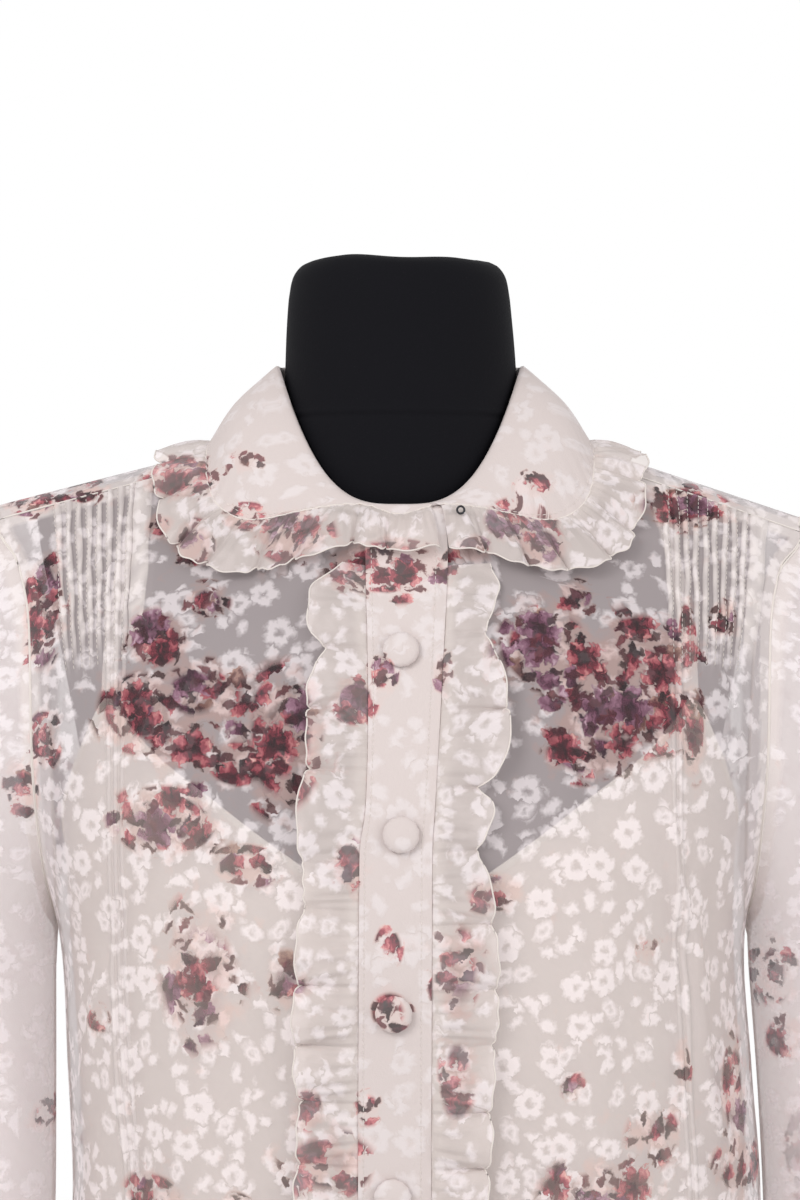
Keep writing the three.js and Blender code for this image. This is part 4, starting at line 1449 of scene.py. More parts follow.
class BLOUSE_OT_finishes(bpy.types.Operator):
    """Make the finishes of cloth, thread and metal"""

    bl_idname = "blouse.finishes"
    bl_label = "Finishes"

    def execute(self, context):
        cloth = context.scene.blouse_cloth
        sheer = (cloth.ground_cover, cloth.motif_cover)
        FINISHES["chiffon"] = chiffon("chiffon", cloth.ground, cloth.motif, *sheer, 0.94)
        # The sleeves' finish uses the lighter ground: painted light through the empty sleeves
        FINISHES["sleeve"] = chiffon("sleeve_chiffon_painted_light", cloth.sleeve, cloth.motif, *sheer, 0.9)
        FINISHES["frill"] = chiffon("frill_chiffon", cloth.frill, cloth.motif, *sheer, 0.76)
        FINISHES["doubled"] = chiffon(
            "doubled_chiffon", cloth.doubled, cloth.doubled_motif, 1.0, 1.0, 0.86
        )
        # The lining satin's colour holds painted light: it is brightened for light passing through the
        # sheer cloth
        FINISHES["satin"] = plain_cloth("lining_satin_painted_light", cloth.satin, 0.42, 0.4, 0.1, 0.12)
        FINISHES["binding"] = plain_cloth("lining_binding", cloth.binding, 0.5, 0.4)
        FINISHES["edge"] = plain_cloth("rolled_edge_thread", CREAM, 0.7, 0.3, 0.1, 0.2)
        FINISHES["jersey"] = plain_cloth("form_jersey", cloth.jersey, 0.85, 0.16, 0.0, 0.35, 1.1)
        metal = Finish(bpy.data.materials.new("dark_metal"))
        for socket, value in (("Base Color", DARK_METAL), ("Metallic", 0.9), ("Roughness", 0.35)):
            metal.feed(socket, value)
        FINISHES["metal"] = metal.owner
        return {"FINISHED"}


class BLOUSE_OT_fronts(bpy.types.Operator):
    """Make the two fronts with their pin tucks"""

    bl_idname = "blouse.fronts"
    bl_label = "Fronts"

    def execute(self, context):
        for name, side in SIDES.items():
            points, tucks = front_grid(name)
            inner = "last" if side < 0 else "first"
            outer = "first" if side < 0 else "last"
            seams = {inner: 0.5, outer: 0.55, "low": 0.7, "top": 0.7}
            layers = np.maximum(tucks * 0.85, seam_layers(points, seams))
            start = points.shape[1] - 1 if side < 0 else 0
            weave = flat_place(points, start)
            bloom = front_bloom(points)
            piece = build_sheer(f"front_{name}", points, "chiffon", weave, bloom, layers)
            build_hem(f"hem_stitches_{name}", points)
            edge = -1 if side > 0 else 0
            above = points[:, edge, 2] > UNDERARM
            build_edging(f"armhole_edge_{name}", [points[above, edge]], EDGE_RADIUS)
            paths = tuck_stitch_paths(name, points)
            build_stitching(f"tuck_stitches_{name}", paths, length=2.0, space=1.0, radius=0.16)
        return {"FINISHED"}


class BLOUSE_OT_back(bpy.types.Operator):
    """Make the back, which rolls over the shoulders to the front seams"""

    bl_idname = "blouse.back"
    bl_label = "Back"

    def execute(self, context):
        points = back_grid()
        layers = seam_layers(points, {"first": 0.55, "last": 0.55, "low": 0.7, "top": 0.7})
        weave = flat_place(points, points.shape[1] // 2)
        bloom = np.where(
            points[..., 1].ravel() <= 0,
            front_bloom(points).ravel(),
            bloom_at(weave[:, 0], weave[:, 1], BACK_BLOSSOMS),
        )
        weave = weave + (0, BACK_WEAVE)
        piece = build_sheer("back", points, "chiffon", weave, bloom, layers)
        build_hem("back_hem_stitches", points)
        ahead = np.array([0, -SEAM_SHIFT, 0])
        sides = [points[:, edge] + ahead * (points[:, edge, 2:] < UNDERARM) for edge in (0, -1)]
        build_edging("back_seams", [*sides, points[-1, 1:-1] + ahead], SEAM_RADIUS)
        return {"FINISHED"}


# The sleeves

CREASES_SLEEVE = [
    (-12, 60, 50, 20, 9, 2.2),
    (34, 80, 60, -14, 10, -2.4),
    (-52, 110, 60, 12, 10, -2.0),
    (70, 150, 70, 8, 11, 2.2),
    (8, 190, 80, -6, 10, 2.4),
    (-38, 240, 90, 5, 11, 2.0),
    (42, 270, 84, -4, 10, -2.2),
    (-84, 220, 70, 6, 10, 1.8),
    (-6, 340, 90, 3, 11, -2.0),
    (60, 390, 90, -5, 12, 2.2),
    (-56, 410, 80, 4, 11, -2.0),
    (20, 470, 80, 2, 10, 2.0),
    (-30, 520, 60, -3, 10, 1.8),
    (96, 300, 90, 3, 11, -1.8),
    (-104, 340, 100, -3, 11, 1.8),
]


# How far down a sleeve's own blossoms start
PLAIN_CAP = 150


def armhole_loop(name, count):
    """The armhole's points and turns, from the underarm up the front, over the tip and down behind."""
    side = SIDES[name]
    seam_tip = float(BLOUSE.ridge(side * TIP_X)) - SEAM_DROP
    turns = np.linspace(0, math.pi, count)
    share = (1 + np.cos(turns)) / 2
    z = lerp(UNDERARM, seam_tip, share)
    x = lerp(armhole_x(z), TIP_X, smoothstep(share, 0.9, 1))
    x = BLOUSE.lean(z) + side * x
    front = BLOUSE.point(x, BLOUSE.roll(x, z))
    front[-1, 1] = 0
    front[:, 1] -= SEAM_SHIFT
    v = np.linspace(0, 1, count)
    top = np.full(count, float(side))
    over = np.array([back_fan_row(top[:1], top[:1], step)[0] for step in v])
    low_z = np.linspace(UNDERARM, CHEST, count)
    low_x = BLOUSE.lean(low_z) + side * armhole_x(low_z)
    low = BLOUSE.point(low_x, -BLOUSE.roll(low_x, low_z))
    low[0, 1] = 0
    behind = resample(np.concatenate([low, over[1:]]), 0.8)
    behind[:, 1] += SEAM_SHIFT
    tip = float(BLOUSE.ridge(side * TIP_X))
    back_share = np.clip((behind[:, 2] - UNDERARM) / (tip - UNDERARM), 0, 1)
    back_turn = np.arccos(np.clip(2 * back_share - 1, -1, 1))
    keep = np.concatenate([[True], np.diff(back_turn) < -1e-4])
    behind, back_turn = behind[keep], back_turn[keep]
    length = arc(behind[:, None], 0)[:, 0]
    at = np.linspace(0, length[-1], count)
    behind = np.stack([np.interp(at, length, behind[:, k]) for k in range(3)], axis=-1)
    back_turn = np.interp(at, length, back_turn)
    front_turn = np.arccos(np.clip(2 * (front[:, 2] - UNDERARM) / (tip - UNDERARM) - 1, -1, 1))
    points = np.concatenate([front[::-1], behind[::-1][1:]])
    turn = np.concatenate([front_turn[::-1], -back_turn[::-1][1:]])
    turn[0], turn[-1] = math.pi, -math.pi
    return points, turn


def sleeve_grid(name, around=64, rings=150):
    """A sleeve's points, ring by ring, from the armhole to the cuff."""
    side = SIDES[name]
    loop, turns = armhole_loop(name, around)
    low = (1 - np.cos(turns)) / 2
    first = loop + np.stack([side * (0.3 + 0.8 * low), 0 * low, 0 * low], axis=-1)
    foot = first[0]
    tip = float(BLOUSE.ridge(side * TIP_X))
    head_x = float(np.abs(first[around - 1, 0]))
    start = math.atan2(head_x - abs(foot[0]), tip - foot[2])
    length = math.hypot(head_x - abs(foot[0]), tip - foot[2])
    share = (1 + np.cos(turns)) / 2

    def ring(pivot_x, pivot_z, turn, reach, deep, keep):
        straight_x = abs(foot[0]) + math.sin(start) * length * share
        straight_z = foot[2] + math.cos(start) * length * share
        x = pivot_x + math.sin(turn) * reach * share + (np.abs(first[:, 0]) - straight_x) * keep
        z = pivot_z + math.cos(turn) * reach * share + (first[:, 2] - straight_z) * keep
        y = lerp(-deep * np.sin(turns), first[:, 1], keep)
        return np.stack([side * x, y, z], axis=-1)

    inner = curve_of(SLEEVE_HANG[::-1], 1 if side < 0 else 2)
    made = [first]
    for k, (turn, reach, deep, drop) in enumerate(SLEEVE_BEND):
        z = UNDERARM - drop
        keep = max(0, 1 - (k + 1) / BOW_RINGS) ** 1.5
        made.append(ring(float(inner(z)), z, math.radians(turn), reach, deep, keep))
    for z, right, left, reach, deep in SLEEVE_HANG[2:]:
        made.append(ring(right if side < 0 else left, z, QUARTER, reach, deep, 0))
    made = np.array(made)
    weights = np.concatenate([np.full(len(SLEEVE_BEND), 0.7), np.full(len(SLEEVE_HANG) - 2, 1.6)])
    along = np.concatenate([[0], np.cumsum(weights)])
    at = np.linspace(0, along[-1], rings)
    steps = np.interp(at, along, np.arange(len(made)))
    grid = blend_rows(made, steps)
    if side < 0:
        grid = grid[:, ::-1]
    across = arc(grid, 1)
    across = across - across[:, around - 1 : around]
    down = arc(grid, 0)
    down = down - down[-1:] + down[-1, around - 1]
    normal = grid_normals(grid)
    calm = smoothstep(arc(grid, 0), 12, 50) * (1 - smoothstep(np.abs(across), 110, 135))
    seed = 1 if side < 0 else -1
    lift = creases_at(across * seed, down, CREASES_SLEEVE) * calm
    return grid + normal * lift[..., None], across, down


def unseen_share(points):
    """How far a sleeve's place lies from what the front view shows: outside, behind or below."""
    outside = smoothstep(np.abs(points[..., 0]), 204, 226)
    behind = smoothstep(points[..., 1], 10, 30)
    below = 1 - smoothstep(points[..., 2], 270, 300)
    return np.maximum(np.maximum(outside, behind), below)


class BLOUSE_OT_sleeves(bpy.types.Operator):
    """Make the two hanging sleeves"""

    bl_idname = "blouse.sleeves"
    bl_label = "Sleeves"

    def execute(self, context):
        for name, side in SIDES.items():
            points, across, down = sleeve_grid(name)
            edges = {"first": 0.5, "last": 0.5, "low": 0.6, "top": 0.75}
            layers = seam_layers(points, edges)
            places = clusters(CLUSTER_SEED + side, SLEEVE_CLUSTERS, (-140, 20), (140, 640))
            own = bloom_at(across, down, places) * (down > PLAIN_CAP) * unseen_share(points)
            bloom = np.maximum(own, front_bloom(points))
            weave = flattened(points, across, -down).reshape(-1, 2) + (SLEEVE_WEAVE[name], 0)
            # The sleeve finish carries painted light: its ground is lighter than the body's, for light
            # coming through from behind
            piece = build_sheer(f"sleeve_{name}", points, "sleeve", weave, bloom, layers)
            seam = points[0, 2:-2] - (side * 0.2, 0, 0)
            build_edging(f"armhole_seam_{name}", [seam], SEAM_RADIUS)
            hem = points[-1] + (0, 0, CUFF_HEM)
            hem = hem + unit((hem - hem.mean(axis=0)) * (1, 1, 0)) * STITCH_OFF
            build_stitching(f"cuff_stitches_{name}", [hem])
        return {"FINISHED"}


# The placket, the frills and the buttons

PLACKET_OFF = CLOTH / 2 + GAP + BAND / 2 + SEAM_SHIFT + 0.1
FRILL_TOP = 636
PLACKET_TOP = 664.5
LEAF_OFF = CLOTH / 2 + GAP + COLLAR / 2 + 0.6


def placket_grid():
    """The placket's points."""
    z = np.linspace(HEM, PLACKET_TOP, 200)[:, None]
    share = np.linspace(0, 1, 15)[None]
    x = lerp(placket_edge["right"](z), placket_edge["left"](z), share)
    z = np.broadcast_to(z, x.shape)
    off = np.full(x.shape, PLACKET_OFF)
    for button_x, button_z in BUTTONS:
        away = np.hypot(x - button_x, z - button_z)
        angle = np.arctan2(z - button_z, x - button_x)
        pucker = np.exp(-(((away - 12) / 5) ** 2))
        off += 0.25 * pucker * np.cos(angle * 5 + button_z)
    off += 0.18 * np.sin(z / 7.3 + 1.2 * np.sin(z / 19)) * (np.abs(share - 0.5) * 2) ** 4
    return front_at(x, z, off)


# The front frills' outer edges by height, and the heights where their lobes turn under
FRILL_REACH = {
    "right": [
        (60, 50), (110, 47), (160, 51), (210, 48), (260, 50), (300, 49), (340, 49.5), (370, 48),
        (400, 49.5), (430, 49), (460, 48), (480, 45.5), (500, 48.5), (525, 48), (536, 45.5),
        (552, 44), (570, 45), (585, 41), (594, 37), (602, 43), (614, 43.5), (625, 42), (636, 30),
    ],
    "left": [
        (60, 44), (110, 41), (160, 45), (210, 42), (260, 44), (300, 42), (330, 41), (350, 42),
        (370, 43), (395, 44.5), (420, 46.5), (440, 46.5), (460, 45), (480, 43), (497, 38),
        (510, 42.5), (521, 44), (527, 38.5), (534, 46), (546, 50.5), (560, 52.5), (585, 48.5),
        (592, 45), (600, 42.5), (612, 44.5), (625, 48.5), (636, 45),
    ],
}
FRILL_LOBES = {
    "right": [
        62, 94, 121, 156, 186, 219, 246, 283, 312, 346, 377, 405, 434, 470, 492, 537, 566, 596, 640,
    ],
    "left": [
        62, 88, 124, 152, 187, 214, 251, 279, 316, 345, 372, 404, 431, 463, 498, 528, 566, 603, 640,
    ],
}
FRILL_LIFT = 6.5
FRILL_PUFF = 4.5
FRILL_CLEAR = CLOTH / 2 + GAP + 0.4
FOLD_OVER = 0.12


def unevenness(at, seed):
    """A slow, uneven share from 0 to 1 along a seam."""
    return 0.5 + 0.25 * (np.sin(at / 31 + seed) + np.sin(at / 17.3 + 2.1 * seed))


def lobe_phase(at, ends):
    """The phase of a frill's lobes, one turn from each end to the next, and their length."""
    phase = curve(ends, TURN * np.arange(len(ends)))
    return phase(at), TURN / (phase(at + 0.5) - phase(at - 0.5))


def lobe_swell(wave):
    """A lobe's round swell, from nearly 0 in the narrow dips between lobes to 1 in its middle."""
    return (np.sin(wave / 2) ** 2 + 0.01) ** 0.4


def frill_profile(t, wave, puff, lift):
    """How far a frill stands off the cloth from its seam (t = 0) to its edge (t = 1)."""
    swell = puff * np.sin(math.pi * t**0.7) * (0.5 + 0.5 * lobe_swell(wave + 0.4))
    rise = lift * t**1.3 * lobe_swell(wave)
    pleats = np.sin(wave * 5 + 1.3 * np.sin(wave)) + 0.6 * np.sin(wave * 9 + 2 * np.sin(wave * 2))
    gathers = 1.1 * (1 - t) * t**0.4 * pleats
    return np.maximum(swell + rise + gathers * np.minimum(puff, 1), 0)


def front_frill_grid(name, settings):
    """A front frill's points: stations up the placket, each with places from the seam outwards."""
    side = SIDES[name]
    reach = curve_of(FRILL_REACH[name])
    z = np.linspace(HEM + 3, FRILL_TOP, 560)[:, None]
    t = np.linspace(0, 1, 14)[None]
    wave, length = lobe_phase(z, FRILL_LOBES[name])
    lively = (0.5 + unevenness(z, 2.0 + side)) * (1 - 0.7 * smoothstep(z, 606, 630))
    fullness = settings.fullness
    fold = np.sin(wave + 0.35) * t**1.6 * length * FOLD_OVER * fullness * lively
    height = np.clip(z - fold + t * 1.5 * np.cos(wave), HEM + 1.5, FRILL_TOP + 2)
    start = placket_edge[name](np.broadcast_to(z, height.shape)) - side * 0.3
    x = lerp(start, side * reach(height), t)
    x = x + side * t * (2.6 * lively * (lobe_swell(wave) - 0.7) + 0.4 * np.sin(wave * 3 + z / 23))
    standing = frill_profile(t, wave, FRILL_PUFF * fullness * lively, FRILL_LIFT * fullness * lively)
    off = lerp(PLACKET_OFF - 0.2, FRILL_CLEAR, smoothstep(t, 0, 0.25)) + standing
    return front_at(x, height, off)


def turned_back(turn):
    """The turn at which the collar's edge lies, where its upper end slants away from the placket."""
    return turn + CORNER_SLANT * np.exp(-(((turn - COLLAR_START) / 12) ** 2))


edge_x, edge_roll = curve_of(COLLAR_EDGE, 1), curve_of(COLLAR_EDGE, 2)
frill_x, frill_roll = curve_of(FRILL_EDGE, 1), curve_of(FRILL_EDGE, 2)


def collar_grid(count=240):
    """The collar's points, from its outer edge over the fold and down inside to the neckline."""
    turn = np.linspace(COLLAR_START, COLLAR_END, count)
    side = np.where(turn <= 180, 1.0, -1.0)
    edge_turn = np.where(turn <= 180, turned_back(turn), 360 - turn)
    turn = np.where(turn <= 180, turn, 360 - turn)
    angle = np.radians(turn)
    front = np.cos(angle) > 0

    deep = np.where(front, FOLD_RING["front"], FOLD_RING["back"])
    low = np.where(front, FOLD_Z["pit"], FOLD_Z["back"])
    out = np.abs(np.sin(angle))
    rise = out ** np.where(front, NECK_CURVE, 2)
    fold = np.stack(
        [
            side * FOLD_RING["side"] * np.sin(angle),
            -deep * np.cos(angle),
            lerp(low, FOLD_Z["side"], rise),
        ],
        axis=-1,
    )
    neck_top = BLOUSE.ridge(side * NECK_SIDE_X) - SEAM_DROP
    bend = np.minimum(np.abs(angle), QUARTER)
    neck_x = side * np.sign(angle) * NECK_SIDE_X * np.sin(bend)
    neck_z = neck_top - (neck_top - NECK_PIT) * np.cos(bend)
    front_stand = BLOUSE.point(neck_x, BLOUSE.roll(neck_x, neck_z))
    behind_x = NECK_SIDE_X * np.abs(np.sin(angle))
    back_stand = BLOUSE.point(side * behind_x, np.radians(back_neck_roll(behind_x)))
    stand = np.where(front[:, None], front_stand, back_stand) + (0, 0, 3)

    away = unit(fold * (1, 1, 0))
    leaf = BLOUSE.lifted(side * edge_x(edge_turn), np.radians(edge_roll(edge_turn)), LEAF_OFF)
    over = fold + away * 3.2
    middle = lerp(over, leaf, 0.5)
    bulge = away + (0, 0, 0.9)
    middle = middle + bulge * np.linalg.norm(over - leaf, axis=-1, keepdims=True) * 0.05
    rows = np.array([leaf, middle, over, fold, lerp(stand, fold, 0.5), stand])
    steps = np.concatenate(
        [np.linspace(0, 2, 17), np.linspace(2, 3, 6)[1:], np.linspace(3, 5, 8)[1:]]
    )
    grid = blend_rows(rows, steps)
    along = arc(grid[:1], 1)[0]
    pucker = np.exp(-np.linspace(0, 3.2, 17)) * 0.35
    normal = grid_normals(grid)
    ripple = np.zeros(grid.shape[:2])
    ripple[:17] = pucker[:, None] * np.sin(along * 0.9 + 2 * np.sin(along / 23))[None]
    return grid + normal * ripple[..., None]


# Where the collar frill's lobes turn under, by the turn round the neck
COLLAR_LOBES = [
    8, 25, 36, 45, 57, 69, 84, 97, 113, 128, 145, 160, 177, 191, 208, 223, 240, 254, 270, 283,
    298, 309, 321, 330, 345, 356, 378,
]
COLLAR_LIFT = 6.0
COLLAR_PUFF = 4.0


def collar_frill_grid(settings, count=640):
    """The collar frill's points: stations round the neck, each with places from the seam outwards."""
    turn = np.linspace(COLLAR_START + 0.5, COLLAR_END - 0.5, count)[:, None]
    t = np.linspace(0, 1, 14)[None]
    wave, length = lobe_phase(turn, COLLAR_LOBES)
    ends = smoothstep(turn, COLLAR_START, COLLAR_START + 6)
    ends = ends * (1 - smoothstep(turn, COLLAR_END - 6, COLLAR_END))
    lively = (0.75 + 0.5 * unevenness(turn * 1.7, 5.0)) * (0.45 + 0.55 * ends)
    fullness = settings.fullness
    fold = np.sin(wave + 0.35) * t**1.6 * length * FOLD_OVER * fullness * lively
    moved = np.clip(turn - fold, COLLAR_START, COLLAR_END)
    side = np.where(moved <= 180, 1.0, -1.0)
    place = np.where(moved <= 180, turned_back(moved), 360 - moved)
    near_front = 1 - smoothstep(place, 18, 36)
    reach = lerp(-0.03, 1 + 0.19 * (lobe_swell(wave) - 0.7) + 0.02 * np.sin(wave * 3), t)
    x = side * lerp(edge_x(place), frill_x(place), reach)
    roll = np.radians(lerp(edge_roll(place), frill_roll(place), reach))
    standing = frill_profile(t, wave, COLLAR_PUFF * fullness * lively, COLLAR_LIFT * fullness * lively)
    low = FRILL_CLEAR + 2.6 * near_front
    off = lerp(LEAF_OFF - 0.1, low, smoothstep(t, 0, 0.3)) + standing
    return BLOUSE.lifted(x, roll, off)


def build_doubled(name, points, thick):
    """A piece of two layers of the sheer cloth."""
    looks = {
        "weave": flat_place(points, 0),
        "bloom": front_bloom(points).ravel(),
        "dense": np.zeros(points[..., 0].size),
    }
    return build_wall(name, points, thick, "doubled", "band", **looks)


def build_frill(name, points, edge_radius):
    """A sheer frill with its rolled edge."""
    rows, columns = points.shape[:2]
    along = arc(points, 0).mean(axis=1, keepdims=True) + np.zeros((rows, columns))
    weave = np.stack([arc(points, 1) + FRILL_WEAVE[name], along], axis=-1).reshape(-1, 2)
    seam = np.linspace(0, 1, columns)
    layers = np.broadcast_to(0.34 + 0.3 * (1 - smoothstep(seam, 0.05, 0.35)), (rows, columns))
    piece = build_sheer(name, points, "frill", weave, front_bloom(points), layers)
    edge = build_edging(f"{name}_edge", [points[:, -1]], edge_radius)


class BLOUSE_OT_placket(bpy.types.Operator):
    """Make the placket with its stitching"""

    bl_idname = "blouse.placket"
    bl_label = "Placket"

    def execute(self, context):
        points = placket_grid()
        piece = build_doubled("placket", points, BAND)
        face = points + grid_normals(points) * (BAND / 2 + 0.1)
        build_stitching("placket_stitches", [face[2:-2, 1], face[2:-2, -3]])
        return {"FINISHED"}


class BLOUSE_OT_frills(bpy.types.Operator):
    """Make the two frills beside the placket"""

    bl_idname = "blouse.frills"
    bl_label = "Front frills"

    def execute(self, context):
        settings = context.scene.blouse_frills
        for name, side in SIDES.items():
            points = front_frill_grid(name, settings)
            if side < 0:
                points = points[::-1]
            build_frill(f"frill_{name}", points, settings.edge / MM)
        return {"FINISHED"}


class BLOUSE_OT_collar(bpy.types.Operator):
    """Make the turned-down collar and its frill"""

    bl_idname = "blouse.collar"
    bl_label = "Collar"

    def execute(self, context):
        settings = context.scene.blouse_frills
        points = collar_grid()
        piece = build_doubled("collar", points, COLLAR)
        build_ring()
        face = points + grid_normals(points) * (COLLAR / 2 - 0.15)
        build_edging("collar_edge_seam", [face[0]], 0.5)
        build_stitching("collar_stitches", [(face + grid_normals(points) * 0.2)[1, 2:-2]])
        frill = collar_frill_grid(settings)[::-1]
        build_frill("collar_frill", frill, settings.edge / MM)
        return {"FINISHED"}


RING = {"x": 28.5, "z": 660, "off": 10.5, "radius": 1.8, "wire": 0.55}


def build_ring():
    """The small dark ring at the collar's edge."""
    middle = front_at(np.array(RING["x"]), np.array(RING["z"]), RING["off"])
    angle = np.arange(32) * TURN / 32
    path = middle + RING["radius"] * np.stack([np.cos(angle), 0 * angle, np.sin(angle)], axis=-1)
    points, faces = tube(path, RING["wire"], 8, closed=True)
    piece = make_piece("neck_ring", points, faces.tolist(), "metal")
    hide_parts("neck_eye")


def ring_faces(rings, around):
    """The quads between closed rings of points."""
    index = np.arange(rings * around).reshape(rings, around)
    ahead = np.roll(index, -1, axis=1)
    return np.stack([index[:-1], ahead[:-1], ahead[1:], index[1:]], axis=-1).reshape(-1, 4)


def lathe(profile, around):
    """A turned solid from a profile of radius and height, as points and faces."""
    angle = np.arange(around) * TURN / around
    rings = [
        np.stack([r * np.cos(angle), r * np.sin(angle), np.full(around, h)], axis=-1)
        for r, h in profile
    ]
    return np.concatenate(rings), ring_faces(len(profile), around)


BUTTON_PROFILE = [
    (0.01, 0),
    (0.82, 0),
    (0.93, 0.08),
    (0.985, 0.2),
    (1.0, 0.34),
    (0.985, 0.5),
    (0.93, 0.66),
    (0.82, 0.8),
    (0.66, 0.9),
    (0.46, 0.96),
    (0.24, 0.99),
    (0.01, 1.0),
]


class BLOUSE_OT_buttons(bpy.types.Operator):
    """Make the covered buttons"""

    bl_idname = "blouse.buttons"
    bl_label = "Buttons"

    def execute(self, context):
        foot = PLACKET_OFF + BAND / 2 + GAP + 0.2
        for index, (x, z) in enumerate(BUTTONS, 1):
            low = front_at(np.array(x), np.array(z), foot)
            high = front_at(np.array(x), np.array(z), foot + 1)
            profile = [(BUTTON_RADIUS * r, BUTTON_THICK * h) for r, h in BUTTON_PROFILE]
            points, faces = lathe(profile, 48)
            radius = np.hypot(points[:, 0], points[:, 1]) / BUTTON_RADIUS
            angle = np.arctan2(points[:, 1], points[:, 0])
            gather = 0.12 * np.sin(angle * 13 + index) * smoothstep(radius, 0.75, 1)
            points[:, :2] *= (1 - gather[:, None] * 0.12)
            turned = Vector((0, 0, 1)).rotation_difference(Vector((high - low).tolist()))
            placed = points @ np.array(turned.to_matrix()).T + low
            weave = np.stack([placed[:, 0] + index * 3.0, placed[:, 2]], axis=-1)
            looks = {"weave": weave, "bloom": front_bloom(placed), "dense": 0.0}
            piece = make_piece(
                f"button_{index}_cover", placed, faces.tolist(), "doubled", crease=WALL_CREASE, **looks
            )
            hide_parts(f"button_{index}")
        return {"FINISHED"}


# The camisole lining

LINING_CREASES = [
    (-90, 380, 90, 8, 12, 1.2),
    (-40, 330, 100, -3, 10, -1.0),
    (10, 280, 110, 2, 12, 1.0),
    (64, 350, 100, -6, 11, -1.1),
    (112, 330, 90, -8, 12, 1.2),
    (-120, 220, 80, 5, 11, -1.1),
    (-60, 170, 80, 3, 12, 1.1),
    (40, 160, 80, -3, 11, -1.0),
    (100, 180, 80, -6, 12, 1.1),
]


def lining_grid(face, tops):
    """Half of the lining, from its hem to its shaped top edge."""
    top = [(z, angle_of(x, float(LINING_SHAPE.half(z)))) for x, z in tops]
    top.append((LINING_SIDE_Z, QUARTER))
    angles = np.array([angle for _, angle in top])
    heights = np.array([z for z, _ in top])
    steps = np.linspace(0, QUARTER, 48)
    height = np.interp(steps, angles, heights)
    angle = np.concatenate([-steps[:0:-1], steps])
    height = np.concatenate([height[:0:-1], height])
    rise = np.linspace(0, 1, 100)[:, None]
    z = lerp(LINING_HEM, height[None], rise)
    sign = np.sign(angle)[None]
    reach = np.sin(np.abs(angle))[None] ** (2 / PLUMP)
    x = LINING_SHAPE.lean(z) + sign * reach * LINING_SHAPE.half(z)
    points = LINING_SHAPE.point(x, face * LINING_SHAPE.roll(x, z))
    points[:, [0, -1], 1] = 0
    points[..., 1] -= face * SEAM_SHIFT
    if face < 0:
        points = points[:, ::-1]
    calm = (1 - smoothstep(rise, 0.75, 0.95)) * (1 - smoothstep(np.abs(x), 140, 165))
    inward = -np.abs(creases_at(x, z, LINING_CREASES)) * calm
    if face < 0:
        inward = inward[:, ::-1]
    return points + grid_normals(points) * inward[..., None] * 0.6


def strap_grid(name):
    """A strap's points, from the front peak over the form's shoulder to the back peak."""
    side = SIDES[name]
    start = float(LINING_SHAPE.roll(STRAP["front_x"], STRAP["front"]))
    end = -float(LINING_SHAPE.roll(STRAP["back_x"], STRAP["back"]))
    t = np.linspace(0, 1, 60)[:, None]
    roll = lerp(start, end, t)
    ahead = lerp(STRAP["front_x"], STRAP["over_x"], smoothstep(t, 0, 0.5))
    behind = lerp(STRAP["over_x"], STRAP["back_x"], smoothstep(t, 0.5, 1))
    middle = np.where(t < 0.5, ahead, behind)
    on_form = smoothstep(np.minimum(t, 1 - t), 0, 0.3)[..., None]
    x = side * middle + np.linspace(-STRAP["half"], STRAP["half"], 5)[None]
    roll = np.broadcast_to(roll, x.shape)
    low = LINING_SHAPE.point(x, roll)
    low[..., 1] -= np.sign(roll) * SEAM_SHIFT
    return lerp(low, FORM_SHAPE.lifted(x, roll, np.full(x.shape, STRAP["off"])), on_form)


def top_binding(points):
    """The bound edge along the top of half of the lining, as a wall's points and faces."""
    length = arc(points, 0)
    band = []
    for down in BINDING_ROWS:
        at = length[-1] - down
        band.append(
            [
                [np.interp(at[i], length[:, i], points[:, i, k]) for k in range(3)]
                for i in range(points.shape[1])
            ]
        )
    band = np.array(band)
    band = band + grid_normals(band) * (SATIN / 2 + 0.2)
    return wall(band, BINDING)[:2]


class BLOUSE_OT_lining(bpy.types.Operator):
    """Make the camisole lining, its bound edges and its straps"""

    bl_idname = "blouse.lining"
    bl_label = "Lining"

    def execute(self, context):
        bindings = []
        halves = (("lining_front", 1, LINING_FRONT_TOP), ("lining_back", -1, LINING_BACK_TOP))
        for name, face, tops in halves:
            points = lining_grid(face, tops)
            piece = build_wall(name, points, SATIN, "satin", "satin")
            bindings.append(top_binding(points))
        points, faces = join(bindings)
        binding = make_piece("lining_binding", points, faces.tolist(), "binding", crease=WALL_CREASE)
        for name in SIDES:
            piece = build_wall(f"strap_{name}", strap_grid(name), SATIN, "satin", "satin")
        return {"FINISHED"}


# The dress form


FORM_ACROSS = 40
FORM_STEP = 12
FORM_CAP_RINGS = 26


